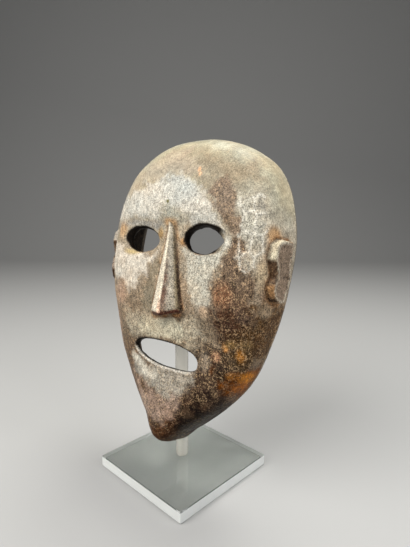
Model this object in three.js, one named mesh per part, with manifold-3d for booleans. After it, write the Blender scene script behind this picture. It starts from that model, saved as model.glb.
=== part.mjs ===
// A carved wooden shaman mask that hangs on a clear acrylic rod, which stands on a square acrylic plate.
// Millimetres, +Z up. The origin is the centre of the plate's underside. The face looks along -Y and the
// mask's own left side is +X.
import * as THREE from "three";
import { mergeVertices } from "three/addons/utils/BufferGeometryUtils.js";
import Module from "manifold-3d";

const wasm = await Module();
wasm.setup();

const FIT_GAP = 0.3;

// The stand: a square plate, and a rod that stands a little off its middle
const PLATE_SIDE = 110;
const PLATE_THICKNESS = 10;
const PLATE_CHAMFER = 0.5;
const PLATE_TURN = -6.3;
const ROD_DIAMETER = 12;
const ROD_X = -2;
const ROD_Y = 0.5;
const ROD_FOOT_CHAMFER = 0.4;
const ROD_TOP_ROUNDING = 2.5;
const ROD_SIDES = 32;

// How the mask hangs: the lowest point of its rear edge, its lean backwards and its slight turn sideways
const CHIN_X = 4.4;
const CHIN_Y = -9.6;
const CHIN_ABOVE_PLATE = 24;
const LEAN_BACK = 14.4;
const LEAN_SIDE = -0.2;
const HANGING_GAP = 0.7;

// The rear edge of the mask as seen from the front: its distance from the mask's centre at angles that
// run from the crown (0) past the temple (90) to the chin (180), the same on both sides
const RIM_ANGLES = [0, 30, 60, 90, 120, 145, 160, 172, 180];
const RIM_RADII = [119.5, 116.5, 98, 87, 92.5, 111, 124, 139, 153];
const CROWN = RIM_RADII[0];
const CHIN = RIM_RADII[RIM_RADII.length - 1];

// How deep the bowl is in front of its rear edge, from the chin (-1) past the centre (0) to the crown (1)
const DEPTH_STATIONS = [-1, -0.75, -0.5, -0.05, 0.2, 0.5, 1];
const DEPTHS = [60, 45.5, 41.5, 56, 59, 65, 71];

// How square the bowl's sections are at the crown, the temple and the chin: 2 is an ellipse
const SQUARE_ANGLES = [0, 90, 180];
const SQUARENESS = [3, 4, 3.7];

// The wall is thickest at the face, thinner at the sides, and bevelled from inside at the rear edge
const FACE_WALL = 7;
const SIDE_WALL = 5.5;
const EDGE_WALL = 2.5;

// The eyes are sunk under the brow, and the sunk field fades out over the cheeks and the temples
const SOCKET_DEPTH = 4.5;
const BROW_TOP = 44;
const BROW_FOOT = 36;
const SOCKET_FADE_TOP = 12;
const SOCKET_FADE_FOOT = -40;
const SOCKET_FADE_INNER = 48;
const SOCKET_FADE_OUTER = 70;

// Openings, seen from the front: centre, reach to each side, and how square each quarter is, in the order
// up-left, down-left, down-right, up-right of the mask. The flare is how much wider each opening is on the
// face than on the hollow side, towards the mask's left, its right, and down.
const LEFT_EYE = {
  x: 34.7, z: 24.2, left: 22.6, right: 20.2, up: 12.6, down: 12,
  quarters: [1.9, 1.6, 2.5, 1.8], flare: { left: 7, right: 0, down: 1.5 },
};
const RIGHT_EYE = {
  x: -35, z: 20.5, left: 21.6, right: 20.8, up: 11.8, down: 10.8,
  quarters: [1.8, 1.8, 2, 2.4], flare: { left: 0, right: 4, down: 1 },
};
const MOUTH = {
  x: 0, z: -73.5, left: 33.4, right: 36.9, up: 12.2, down: 11.3,
  quarters: [2.3, 3.8, 1.5, 1.7], flare: { left: 0, right: 0, down: 0.5 },
};
const OPENING_SIDES = 48;
const FLARE_DEPTH = 5;

// The nose is a wedge with a sharp ridge and short upright side walls, cut off flat below. Its lower edge
// hangs deeper on the mask's right side, and its left flank is the wider one. The overhang is how much lower
// the ridge ends than the nose's root in the face, and the side walls have a part of it.
const NOSE_ROOT = { x: -0.8, z: 38, toLeft: 3.4, toRight: 2.2, sideWall: 0.3, ridge: 1.2 };
const NOSE_TIP = { x: 2.2, z: -37.5, toLeft: 17.5, toRight: 14.5, sideWall: 4.5, ridge: 11.5, overhang: 3.5 };
const NOSE_FOOT_SLOPE = 0.21;
const NOSE_SIDE_OVERHANG = 0.5;
const NOSE_ROOTED = 3;

// Each ear is a raised plaque with a notched front edge, its outline given as (y, z) points
const LEFT_EAR = {
  raised: 5.5,
  outline: [
    [-17, 32], [-31.5, 31], [-36.5, 26.5], [-37.5, 16], [-33, 6.5], [-31.5, 2], [-33.5, -3], [-33, -8],
    [-29, -14], [-21, -17], [-15, -16], [-13, -5], [-12.5, 5.5], [-15.5, 15], [-14.5, 25],
  ],
};
const RIGHT_EAR = {
  raised: 7.5,
  outline: [
    [-17, 33], [-31.5, 32], [-36.5, 28], [-37.5, 19], [-33.5, 11], [-31.5, 7], [-33.5, 2.5], [-34.5, -6],
    [-31, -16], [-22, -24], [-15, -22], [-13, -8], [-12.5, 5.5], [-15.5, 15], [-14.5, 25],
  ],
};
const EAR_BLOCK_INNER = 70;
const EAR_BLOCK_OUTER = 100;

// Faceting of the bowls
const AROUND = 84;
const OUTER_RINGS = 28;
const EAR_RINGS = 16;
const HOLLOW_RINGS = 12;
const HOLLOW_RUNS_BACK = 4;

// A smooth curve through (station, value) pairs, with level ends where levelEnds is true
function smooth(stations, values, t, levelEnds) {
  const last = stations.length - 1;
  const at = THREE.MathUtils.clamp(t, stations[0], stations[last]);
  const slope = (i) => {
    if (i > 0 && i < last) {
      return (values[i + 1] - values[i - 1]) / (stations[i + 1] - stations[i - 1]);
    }
    const j = i === 0 ? 1 : last;
    return levelEnds ? 0 : (values[j] - values[j - 1]) / (stations[j] - stations[j - 1]);
  };
  let i = 0;
  while (i < last - 1 && at >= stations[i + 1]) {
    i += 1;
  }
  const span = stations[i + 1] - stations[i];
  const u = (at - stations[i]) / span;
  const v = 1 - u;
  const start = values[i] * (1 + 2 * u) * v * v + span * slope(i) * u * v * v;
  const end = values[i + 1] * (1 + 2 * v) * u * u - span * slope(i + 1) * u * u * v;
  return start + end;
}

const rimRadius = (degrees) => smooth(RIM_ANGLES, RIM_RADII, degrees, true);
const squareness = (degrees) => smooth(SQUARE_ANGLES, SQUARENESS, degrees, true);
const bowlDepth = (z) => smooth(DEPTH_STATIONS, DEPTHS, z > 0 ? z / CROWN : z / CHIN, false);

// The depth that is carved away for the eye sockets at a place on the face
function socketDepth(x, z) {
  const underBrow = 1 - THREE.MathUtils.smoothstep(z, BROW_FOOT, BROW_TOP);
  const aboveCheek = THREE.MathUtils.smoothstep(z, SOCKET_FADE_FOOT, SOCKET_FADE_TOP);
  const betweenTemples = 1 - THREE.MathUtils.smoothstep(Math.abs(x), SOCKET_FADE_INNER, SOCKET_FADE_OUTER);
  return SOCKET_DEPTH * underBrow * aboveCheek * betweenTemples;
}

// A point of the bowl's skin in the mask's own frame. across runs from 0 at the middle of the face to 1 at
// the rear edge, and turn is the angle from the crown towards the mask's left. grown moves the skin out.
function bowlPoint(across, turn, grown) {
  const degrees = Math.abs(turn);
  const power = squareness(degrees);
  const c = Math.cos((across * Math.PI) / 2);
  const s = Math.sin((across * Math.PI) / 2);
  const size = Math.pow(Math.pow(s, power) + Math.pow(c, power), -1 / power);
  const radius = rimRadius(degrees) * s * size;
  const grownRadius = (rimRadius(degrees) + grown.rim) * s * size;
  const angle = THREE.MathUtils.degToRad(turn);
  const z = radius * Math.cos(angle);
  const x = radius * Math.sin(angle);
  const depth = (bowlDepth(z) - socketDepth(x, z) + grown.face) * c * size;
  return new THREE.Vector3(grownRadius * Math.sin(angle), -depth, grownRadius * Math.cos(angle));
}

// The depth of the carved face in front of the rear edge, above a place (x, z)
function faceDepth(x, z) {
  const degrees = Math.abs(THREE.MathUtils.radToDeg(Math.atan2(x, z)));
  const power = squareness(degrees);
  const out = Math.min(Math.hypot(x, z) / rimRadius(degrees), 1);
  return (bowlDepth(z) - socketDepth(x, z)) * Math.pow(1 - Math.pow(out, power), 1 / power);
}

// A closed body through rings of points, with a fan to a tip at each end
function loft(rings, firstTip, lastTip) {
  const count = rings[0].length;
  const positions = [];
  const indices = [];
  const put = (p) => positions.push(p.x, p.y, p.z);
  rings.forEach((ring) => ring.forEach(put));
  put(firstTip);
  put(lastTip);
  const first = rings.length * count;
  const topRing = first - count;
  for (let j = 0; j < count; j += 1) {
    const k = (j + 1) % count;
    indices.push(first, k, j, first + 1, topRing + j, topRing + k);
    for (let i = 0; i < topRing; i += count) {
      indices.push(i + j, i + k, i + count + k, i + j, i + count + k, i + count + j);
    }
  }
  const geometry = new THREE.BufferGeometry();
  geometry.setAttribute("position", new THREE.Float32BufferAttribute(positions, 3));
  geometry.setIndex(indices);
  return geometry;
}

// A solid for cutting and joining, from a closed geometry
function solid(geometry) {
  geometry.deleteAttribute("normal");
  geometry.deleteAttribute("uv");
  const merged = mergeVertices(geometry, 1e-4);
  const mesh = new wasm.Mesh({
    numProp: 3,
    vertProperties: new Float32Array(merged.attributes.position.array),
    triVerts: new Uint32Array(merged.index.array),
  });
  return new wasm.Manifold(mesh);
}

// The geometry of a solid, flat shaded as carved wood facets are
function geometryOf(body) {
  const mesh = body.getMesh();
  const geometry = new THREE.BufferGeometry();
  geometry.setAttribute("position", new THREE.BufferAttribute(new Float32Array(mesh.vertProperties), 3));
  geometry.setIndex(new THREE.BufferAttribute(new Uint32Array(mesh.triVerts), 1));
  geometry.computeVertexNormals();
  return geometry;
}

// A bowl filled up to its flat back, which runs back past the rear edge by runsBack. grown says how far its
// skin is moved out at the face, at the sides and at the rear edge.
function bowl(grown, ringCount, runsBack) {
  const rings = [];
  for (let i = 1; i <= ringCount; i += 1) {
    const ring = [];
    for (let j = 0; j < AROUND; j += 1) {
      const turn = (j / AROUND) * 360 - 180;
      ring.push(bowlPoint(i / ringCount, turn, i === ringCount ? { ...grown, rim: grown.edge } : grown));
    }
    rings.push(ring);
  }
  if (runsBack > 0) {
    rings.push(rings[ringCount - 1].map((p) => new THREE.Vector3(p.x, runsBack, p.z)));
  }
  return solid(loft(rings, bowlPoint(0, 0, grown), new THREE.Vector3(0, runsBack, 0)));
}

// A point on the edge of an opening, at an angle that runs from up towards the mask's left. narrowed takes
// the flare off, and depth is how far the point lies behind the face that is in front of it.
function openingPoint(opening, angle, depth, narrowed) {
  const side = Math.sin(angle);
  const rise = Math.cos(angle);
  const toLeft = side >= 0;
  const upper = rise >= 0;
  const [upLeft, downLeft, downRight, upRight] = opening.quarters;
  const leftPower = upper ? upLeft : downLeft;
  const rightPower = upper ? upRight : downRight;
  const power = toLeft ? leftPower : rightPower;
  const half = toLeft ? opening.left : opening.right;
  const high = upper ? opening.up : opening.down;
  const sum = Math.pow(Math.abs(side) / half, power) + Math.pow(Math.abs(rise) / high, power);
  const reach = Math.pow(sum, -1 / power);
  const sideFlare = toLeft ? opening.flare.left : opening.flare.right;
  const downFlare = upper ? 0 : opening.flare.down;
  const face = -faceDepth(opening.x + reach * side, opening.z + reach * rise);
  const x = opening.x + reach * side * (1 - (narrowed * sideFlare) / half);
  const z = opening.z + reach * rise * (1 - (narrowed * downFlare) / high);
  return new THREE.Vector3(x, face + depth, z);
}

// The cutter of an opening: full size in front of the face, narrowing over the flare depth, then straight
function openingCutter(opening) {
  const ring = (depth, narrowed) => {
    const points = [];
    for (let j = 0; j < OPENING_SIDES; j += 1) {
      points.push(openingPoint(opening, (j / OPENING_SIDES) * 2 * Math.PI, depth, narrowed));
    }
    return points;
  };
  const front = -2 * FACE_WALL;
  const back = 3 * FACE_WALL;
  const face = -faceDepth(opening.x, opening.z);
  const tip = (depth) => new THREE.Vector3(opening.x, face + depth, opening.z);
  const rings = [ring(front, 0), ring(0, 0), ring(FLARE_DEPTH, 1), ring(back, 1)];
  return solid(loft(rings, tip(front), tip(back)));
}

// One section of the nose: rooted in the face, up the side walls and over the ridge
function noseSection(end, footSlope, overhang) {
  const right = end.x - end.toRight;
  const left = end.x + end.toLeft;
  const rightZ = end.z + footSlope * (right - end.x);
  const leftZ = end.z + footSlope * (left - end.x);
  const rightFace = -faceDepth(right, rightZ);
  const leftFace = -faceDepth(left, leftZ);
  const ridgeFace = -faceDepth(end.x, end.z);
  return [
    new THREE.Vector3(left, leftFace + NOSE_ROOTED, leftZ),
    new THREE.Vector3(right, rightFace + NOSE_ROOTED, rightZ),
    new THREE.Vector3(right, rightFace - end.sideWall, rightZ - NOSE_SIDE_OVERHANG * overhang),
    new THREE.Vector3(end.x, ridgeFace - end.ridge, end.z - overhang),
    new THREE.Vector3(left, leftFace - end.sideWall, leftZ - NOSE_SIDE_OVERHANG * overhang),
  ];
}

function nose() {
  const foot = noseSection(NOSE_TIP, NOSE_FOOT_SLOPE, NOSE_TIP.overhang);
  const root = noseSection(NOSE_ROOT, 0, 0);
  const middle = (ring) => ring.reduce((sum, p) => sum.add(p), new THREE.Vector3()).divideScalar(ring.length);
  return solid(loft([foot, root], middle(foot), middle(root)));
}

// The plaque of one ear: a block of its outline, cut to a skin that stands proud of the bowl
function ear(side, sizes) {
  const proud = { face: sizes.raised, rim: sizes.raised, edge: sizes.raised };
  const proudBowl = bowl(proud, EAR_RINGS, 0);
  const outline = new THREE.Shape(sizes.outline.map(([y, z]) => new THREE.Vector2(y, z)));
  const block = new THREE.ExtrudeGeometry(outline, {
    depth: EAR_BLOCK_OUTER - EAR_BLOCK_INNER,
    bevelEnabled: false,
  });
  block.applyMatrix4(new THREE.Matrix4().set(0, 0, 1, 0, 1, 0, 0, 0, 0, 1, 0, 0, 0, 0, 0, 1));
  const inner = side > 0 ? EAR_BLOCK_INNER : -EAR_BLOCK_OUTER;
  block.translate(inner, 0, 0);
  return solid(block).intersect(proudBowl);
}

// The mask in its own frame: centre of its rear edge at the origin, crown up, face towards -Y
function carvedMask() {
  const block = bowl({ face: 0, rim: 0, edge: 0 }, OUTER_RINGS, 0);
  const hollowed = { face: -FACE_WALL, rim: -SIDE_WALL, edge: -EDGE_WALL };
  const hollow = bowl(hollowed, HOLLOW_RINGS, HOLLOW_RUNS_BACK);
  let body = block.add(nose());
  body = body.add(ear(1, LEFT_EAR)).add(ear(-1, RIGHT_EAR)).subtract(hollow);
  [LEFT_EYE, RIGHT_EYE, MOUTH].forEach((opening) => {
    body = body.subtract(openingCutter(opening));
  });
  return geometryOf(body);
}

// True where a point of the mask's own frame lies in its hollow
function inHollow(point) {
  const degrees = Math.abs(THREE.MathUtils.radToDeg(Math.atan2(point.x, point.z)));
  const power = squareness(degrees);
  const out = Math.hypot(point.x, point.z) / (rimRadius(degrees) - SIDE_WALL);
  const forward = -point.y / (bowlDepth(point.z) - socketDepth(point.x, point.z) - FACE_WALL);
  return Math.pow(out, power) + Math.pow(Math.max(forward, 0), power) < 1;
}

// The height at which the rod's top reaches the inside of the forehead
function rodTop(mask) {
  mask.updateWorldMatrix(true, false);
  const flat = ROD_DIAMETER / 2;
  const step = 0.1;
  const clear = (z) => {
    for (let j = 0; j < ROD_SIDES; j += 1) {
      const angle = (j / ROD_SIDES) * 2 * Math.PI;
      const x = ROD_X + flat * Math.cos(angle);
      const y = ROD_Y + flat * Math.sin(angle);
      if (!inHollow(mask.worldToLocal(new THREE.Vector3(x, y, z)))) {
        return false;
      }
    }
    return true;
  };
  let z = PLATE_THICKNESS + CHIN_ABOVE_PLATE + CHIN;
  while (clear(z)) {
    z += step;
  }
  return z - HANGING_GAP;
}

function rodGeometry(height) {
  const r = ROD_DIAMETER / 2;
  const profile = [new THREE.Vector2(0, 0), new THREE.Vector2(r - ROD_FOOT_CHAMFER, 0)];
  profile.push(new THREE.Vector2(r, ROD_FOOT_CHAMFER));
  const arcSteps = 4;
  for (let i = 0; i <= arcSteps; i += 1) {
    const a = (i / arcSteps) * (Math.PI / 2);
    const x = r - ROD_TOP_ROUNDING * (1 - Math.cos(a));
    const y = height - ROD_TOP_ROUNDING * (1 - Math.sin(a));
    profile.push(new THREE.Vector2(x, y));
  }
  profile.push(new THREE.Vector2(0, height));
  const geometry = new THREE.LatheGeometry(profile, ROD_SIDES);
  geometry.rotateX(Math.PI / 2);
  return geometryOf(solid(geometry));
}

function plateGeometry() {
  const half = PLATE_SIDE / 2 - PLATE_CHAMFER;
  const square = new THREE.Shape();
  square.moveTo(-half, -half).lineTo(half, -half).lineTo(half, half).lineTo(-half, half).closePath();
  const geometry = new THREE.ExtrudeGeometry(square, {
    depth: PLATE_THICKNESS - 2 * PLATE_CHAMFER,
    bevelThickness: PLATE_CHAMFER,
    bevelSize: PLATE_CHAMFER,
    bevelSegments: 1,
  });
  geometry.translate(0, 0, PLATE_CHAMFER);
  return geometryOf(solid(geometry));
}

const wood = new THREE.MeshStandardMaterial({ color: 0x6b5a4e, roughness: 0.5, metalness: 0 });
const acrylic = new THREE.MeshStandardMaterial({
  color: 0xf2f5f5,
  roughness: 0.05,
  metalness: 0,
  transparent: true,
  opacity: 0.3,
});

const group = new THREE.Group();

const plate = new THREE.Mesh(plateGeometry(), acrylic);
plate.name = "stand_base";
plate.rotation.z = THREE.MathUtils.degToRad(PLATE_TURN);
group.add(plate);

const hanging = new THREE.Group();
hanging.position.set(CHIN_X, CHIN_Y, PLATE_THICKNESS + CHIN_ABOVE_PLATE);
hanging.rotation.order = "YXZ";
hanging.rotation.x = THREE.MathUtils.degToRad(-LEAN_BACK);
hanging.rotation.y = THREE.MathUtils.degToRad(LEAN_SIDE);
group.add(hanging);

const mask = new THREE.Mesh(carvedMask(), wood);
mask.name = "mask";
mask.position.z = CHIN;
hanging.add(mask);

const rodFoot = PLATE_THICKNESS + FIT_GAP;
const rod = new THREE.Mesh(rodGeometry(rodTop(mask) - rodFoot), acrylic.clone());
rod.name = "stand_rod";
rod.position.set(ROD_X, ROD_Y, rodFoot);
group.add(rod);

export default group;
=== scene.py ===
# %% [markdown]
# # A carved wooden mask on a clear stand
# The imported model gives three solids: the mask, a clear rod and a clear plate. This lesson dresses them.
# First comes the camera. Then the mask gets a fine skin with worn edges and tool marks, and its patina.
# The rod and the plate get smooth clear meshes, and the room and the lights come last.

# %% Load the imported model
import math

import bpy
import numpy as np
from mathutils import Matrix, Vector


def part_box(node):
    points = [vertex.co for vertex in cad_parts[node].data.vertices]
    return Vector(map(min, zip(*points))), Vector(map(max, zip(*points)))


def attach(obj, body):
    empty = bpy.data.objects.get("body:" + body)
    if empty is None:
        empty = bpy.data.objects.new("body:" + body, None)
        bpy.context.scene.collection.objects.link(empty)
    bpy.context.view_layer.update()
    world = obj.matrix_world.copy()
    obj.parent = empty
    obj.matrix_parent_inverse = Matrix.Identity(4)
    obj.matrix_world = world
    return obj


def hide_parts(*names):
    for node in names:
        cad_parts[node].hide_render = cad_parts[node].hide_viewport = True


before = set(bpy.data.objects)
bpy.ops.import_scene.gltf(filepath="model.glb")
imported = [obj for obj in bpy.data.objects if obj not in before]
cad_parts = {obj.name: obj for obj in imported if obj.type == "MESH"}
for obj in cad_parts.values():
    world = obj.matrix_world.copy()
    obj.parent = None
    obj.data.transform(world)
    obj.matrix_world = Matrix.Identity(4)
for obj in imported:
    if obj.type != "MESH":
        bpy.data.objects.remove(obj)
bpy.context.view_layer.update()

MM = 0.001

# %% [markdown]
# ## Camera
# The photograph was taken from the mask's left front, a little above it, with a short lens. The camera
# stands where one fitted camera puts it, so that the plate, the rod and the mask all fall where they do
# in the picture.

# %% Camera
CAMERA_AT = (0.2449, -0.2857, 0.2494)
CAMERA_AZIMUTH = 37.6
CAMERA_ELEVATION = 9.62
CAMERA_ROLL = 0.28
CAMERA_LENS = 28.3
CAMERA_NEAR = 0.01


def turned(degrees, axis):
    """A turn by an angle round one axis, as a matrix of four rows."""
    return Matrix.Rotation(math.radians(degrees), 4, axis)


def make_camera():
    """Shift to the camera's place, after turns by its azimuth and its elevation, and a roll."""
    data = bpy.data.cameras.new("camera")
    data.lens = CAMERA_LENS
    data.clip_start = CAMERA_NEAR
    camera = bpy.data.objects.new("camera", data)
    aim = turned(CAMERA_AZIMUTH, "Z") @ turned(90 - CAMERA_ELEVATION, "X") @ turned(CAMERA_ROLL, "Z")
    camera.matrix_world = Matrix.Translation(CAMERA_AT) @ aim
    bpy.context.scene.collection.objects.link(camera)
    bpy.context.scene.camera = camera


make_camera()

# %% [markdown]
# ## Where the mask hangs
# The carving is worked out in the mask's own frame, in millimetres: the middle of its rear edge is the
# origin, the face looks along -Y, the crown is up and the mask's own left is +X. One turn and one shift
# then put it on the stand.

# %% From the mask's frame to the stand's
CHIN_AT = (4.4, -9.6, 34.0)
LEAN_BACK = 14.4
LEAN_SIDE = -0.2


def hang(points):
    """Mask frame to stand frame: lift by the chin's radius, lean back and sideways, move to the chin."""
    lean = turned(LEAN_SIDE, "Y") @ turned(-LEAN_BACK, "X")
    turn = np.array(lean.to_3x3())
    lifted = points + np.array([0.0, 0.0, CHIN])
    return (lifted @ turn.T + np.array(CHIN_AT)) * MM


# %% [markdown]
# ## The bowl
# The mask is a shallow bowl carved from one block. Seen from the front its edge is an egg with a pointed
# chin, and each cut through it from the middle to the edge is a squarish arc, a superellipse. A few sizes
# at named places, joined by smooth curves, give the whole form. The hollow is the same form, moved in by
# the wall's thickness.

# %% Sizes of the bowl
# Angles count from the crown, and depth stations are shares of the way to the chin (-1) or the crown (1).
RIM_ANGLES = (0, 30, 60, 90, 120, 145, 160, 172, 180)
RIM_RADII = (119.5, 116.5, 98, 87, 92.5, 111, 124, 139, 153)
CROWN = RIM_RADII[0]
CHIN = RIM_RADII[-1]
DEPTH_STATIONS = (-1, -0.75, -0.5, -0.05, 0.2, 0.5, 1)
DEPTHS = (60, 45.5, 41.5, 56, 59, 65, 71)
SQUARE_ANGLES = (0, 90, 180)
SQUARENESS = (3, 4, 3.7)
FACE_WALL = 7.0
SIDE_WALL = 5.5
EDGE_WALL = 2.5
EDGE_BEVEL = 7.0
SOCKET_DEPTH = 3.6
BROW_TOP, BROW_FOOT, BROW_ARCH = 47.0, 33.0, 0.004
SOCKET_FADE_TOP, SOCKET_FADE_FOOT = 12.0, -40.0
SOCKET_FADE_INNER, SOCKET_FADE_OUTER = 48.0, 70.0


# %% Curves of the bowl
def smoothstep(low, high, t):
    """0 below low, 1 above high, and 3u^2 - 2u^3 between them."""
    u = np.clip((t - low) / (high - low), 0.0, 1.0)
    return u * u * (3.0 - 2.0 * u)


def smooth_curve(stations, values, t, level_ends):
    """A cubic through (station, value) pairs. An inner slope is that of the chord between its neighbours."""
    s, v = np.asarray(stations, float), np.asarray(values, float)
    slope = np.zeros_like(v)
    slope[1:-1] = (v[2:] - v[:-2]) / (s[2:] - s[:-2])
    if not level_ends:
        slope[0] = (v[1] - v[0]) / (s[1] - s[0])
        slope[-1] = (v[-1] - v[-2]) / (s[-1] - s[-2])
    at = np.clip(t, s[0], s[-1])
    i = np.clip(np.searchsorted(s, at, side="right") - 1, 0, len(s) - 2)
    span = s[i + 1] - s[i]
    u = (at - s[i]) / span
    w = 1.0 - u
    start = v[i] * (1 + 2 * u) * w * w + span * slope[i] * u * w * w
    end = v[i + 1] * (1 + 2 * w) * u * u - span * slope[i + 1] * u * u * w
    return start + end


def rim_radius(degrees):
    """The edge's distance from the middle, seen from the front: the smooth curve through RIM_RADII."""
    return smooth_curve(RIM_ANGLES, RIM_RADII, degrees, True)


def squareness(degrees):
    """The power n of the superellipse in the cut at an angle: 2 is round, and more is squarer."""
    return smooth_curve(SQUARE_ANGLES, SQUARENESS, degrees, True)


def socket_depth(x, z):
    """How far the sunk field round the eyes lies behind the bowl: full under the brow, fading out."""
    arch = z + BROW_ARCH * (np.abs(x) - LEFT_EYE["x"]) ** 2
    under_brow = 1.0 - smoothstep(BROW_FOOT, BROW_TOP, arch)
    above_cheek = smoothstep(SOCKET_FADE_FOOT, SOCKET_FADE_TOP, z)
    between_temples = 1.0 - smoothstep(SOCKET_FADE_INNER, SOCKET_FADE_OUTER, np.abs(x))
    return SOCKET_DEPTH * under_brow * above_cheek * between_temples


def bowl_depth(x, z):
    """The smooth curve through DEPTHS, at a share of the way to crown or chin, less the sunk field."""
    t = np.where(z > 0, z / CROWN, z / CHIN)
    return smooth_curve(DEPTH_STATIONS, DEPTHS, t, False) - socket_depth(x, z)


def face_depth(x, z):
    """Depth of the face at a place seen from the front: D * (1 - (r / R)^n)^(1 / n)."""
    degrees = np.abs(np.degrees(np.arctan2(x, z)))
    n = squareness(degrees)
    out = np.minimum(np.hypot(x, z) / rim_radius(degrees), 1.0)
    return bowl_depth(x, z) * (1.0 - out**n) ** (1.0 / n)


# %% [markdown]
# ## Carving with distances
# A mask has steep walls, openings that go right through and small raised parts, which no single sheet
# over a grid can follow. So each form is written as a distance: below zero inside the wood, above zero
# outside. The smaller of two distances joins two forms, the larger of one and the other's negative cuts
# one from the other, and a soft version of both leaves the rounded edges of old, handled wood.

# %% Joining and cutting
def soft_min(a, b, width):
    """The smaller of a and b, less width / 4 times the square of how near they are, 0 to 1 within width."""
    blend = np.maximum(width - np.abs(a - b), 0.0) / width
    return np.minimum(a, b) - blend * blend * width / 4.0


def soft_max(a, b, width):
    """The larger of a and b, rounded in the same way."""
    return -soft_min(-a, -b, width)


# %% Distance to a squarish oval
LEAST_LEVEL = 0.05
LEAST_SLOPE = 1e-3


def oval_field(along, across, half, high, power):
    """(a^n + b^n)^(1 / n) - 1 over its own slope, where a = along / half and b = across / high."""
    a, b = along / half, across / high
    level = np.maximum((a**power + b**power) ** (1.0 / power), LEAST_LEVEL)
    slope = np.hypot(a ** (power - 1) / half, b ** (power - 1) / high) * level ** (1.0 - power)
    return (level - 1.0) / np.maximum(slope, LEAST_SLOPE)


def bowl_field(x, y, z, face=0.0, side=0.0, edge=0.0):
    """The oval of radius R and depth D in the cut through a point. face, side and edge grow the bowl."""
    degrees = np.abs(np.degrees(np.arctan2(x, z)))
    radius = rim_radius(degrees) + side + (edge - side) * np.clip(1.0 + y / EDGE_BEVEL, 0.0, 1.0)
    depth = bowl_depth(x, z) + face
    return oval_field(np.hypot(x, z), np.maximum(-y, 0.0), radius, depth, squareness(degrees))


def hollow_field(x, y, z):
    """The bowl, drawn in by the wall's thickness on the face, at the sides and at the rear edge."""
    return bowl_field(x, y, z, -FACE_WALL, -SIDE_WALL, -EDGE_WALL)


# %% [markdown]
# ## Nose, ears and openings
# The nose is a wedge: two flanks that meet in a worn ridge, short side walls and a flat foot that the
# carver cut at a slant. The ears are raised plaques with a notched front edge and a slightly dished face.
# The eyes and the mouth are ovals whose four quarters are each a little different, and they open wider
# on the face than on the hollow side.

# %% Sizes of the nose, the ears and the openings
# Half widths and heights are in mm. "wall" and "ridge" are rises over the face, and "quarters" are powers.
NOSE_ROOT = {"x": -0.6, "z": 34.0, "left": 2.8, "right": 1.8, "wall": -0.4, "ridge": 0.7}
NOSE_TIP = {"x": 2.2, "z": -39.2, "left": 17.5, "right": 13.8, "wall": 4.5, "ridge": 11.5}
NOSE_FOOT_SLOPE = 0.21
NOSE_FOOT_OVERHANG = 3.5
NOSE_FOOT_CUT = (4.2, 3.0)
NOSE_RIDGE_FLAT = 0.45
NOSE_FLAT_LEAST = 0.2
NOSE_WORN = 1.1
NOSE_GROOVE = 1.2

LEFT_EAR = {
    "side": 1,
    "raised": 5.5,
    "upper_wall": (0.44, 0.40, 0.29),
    "lower_wall": (0.23, 0.125, 0.055),
    "outline": (
        (-17, 32), (-31.5, 31), (-36.5, 26.5), (-37.5, 16), (-33, 6.5), (-31.5, 2), (-33.5, -3), (-33, -8),
        (-29, -14), (-21, -17), (-15, -16), (-13, -5), (-12.5, 5.5), (-15.5, 15), (-14.5, 25),
    ),
}
RIGHT_EAR = {
    "side": -1,
    "raised": 7.5,
    "upper_wall": (0.30, 0.27, 0.225),
    "lower_wall": (0.20, 0.160, 0.130),
    "outline": (
        (-17, 33), (-31.5, 32), (-36.5, 28), (-37.5, 19), (-33.5, 11), (-31.5, 7), (-33.5, 2.5), (-34.5, -6),
        (-31, -16), (-22, -24), (-15, -22), (-13, -8), (-12.5, 5.5), (-15.5, 15), (-14.5, 25),
    ),
}
EAR_WORN = 1.3
EAR_FOOT = 1.0
EAR_DISH = 0.9
EAR_DISH_EDGE = (1.0, 5.0)
EAR_CLOSE = 60.0
FAR = 1e3

LEFT_EYE = {
    "x": 34.7, "z": 24.2, "left": 22.6, "right": 20.2, "up": 11.6, "down": 12.0,
    "quarters": (1.8, 1.6, 2.5, 1.9), "flare": (8.0, 1.5, 1.7, 0.8), "sharp": 0.4, "worn": (1.2, 1.8),
}
RIGHT_EYE = {
    "x": -35.0, "z": 20.5, "left": 21.6, "right": 20.8, "up": 11.3, "down": 10.8,
    "quarters": (1.8, 1.8, 2.0, 2.4), "flare": (0.0, 4.0, 1.2, 0.6), "sharp": 0.0, "worn": (1.4, 1.8),
}
MOUTH = {
    "x": 0.0, "z": -73.5, "left": 33.4, "right": 36.9, "up": 9.6, "down": 11.4,
    "quarters": (2.1, 3.8, 1.75, 2.4), "flare": (0.0, 0.0, 0.3, 0.5), "sharp": 0.0, "worn": (1.4, 3.0),
}
FLARE_DEPTH = 5.0
RIM_WORN = 1.2


# %% Distance to the nose
def nose_share(z):
    """How far down the nose a height lies: 0 at the root, 1 at the tip."""
    return (NOSE_ROOT["z"] - z) / (NOSE_ROOT["z"] - NOSE_TIP["z"])


def along_nose(size, t):
    """A size of the nose at a share t of its length: root + (tip - root) t."""
    return NOSE_ROOT[size] + (NOSE_TIP[size] - NOSE_ROOT[size]) * t


def foot_height(x):
    """Height of the slanted foot: a straight line across the tip."""
    return NOSE_TIP["z"] + NOSE_FOOT_SLOPE * (x - NOSE_TIP["x"])


def nose_line(shifts, rise, t):
    """A straight edge of the nose: at each end the face's depth beside it, plus a rise, joined by a line."""
    root, tip = (
        float(face_depth(np.float64(end["x"] + shift), np.float64(end["z"]))) + end[rise]
        for end, shift in zip((NOSE_ROOT, NOSE_TIP), shifts)
    )
    return root + (tip - root) * t


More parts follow.
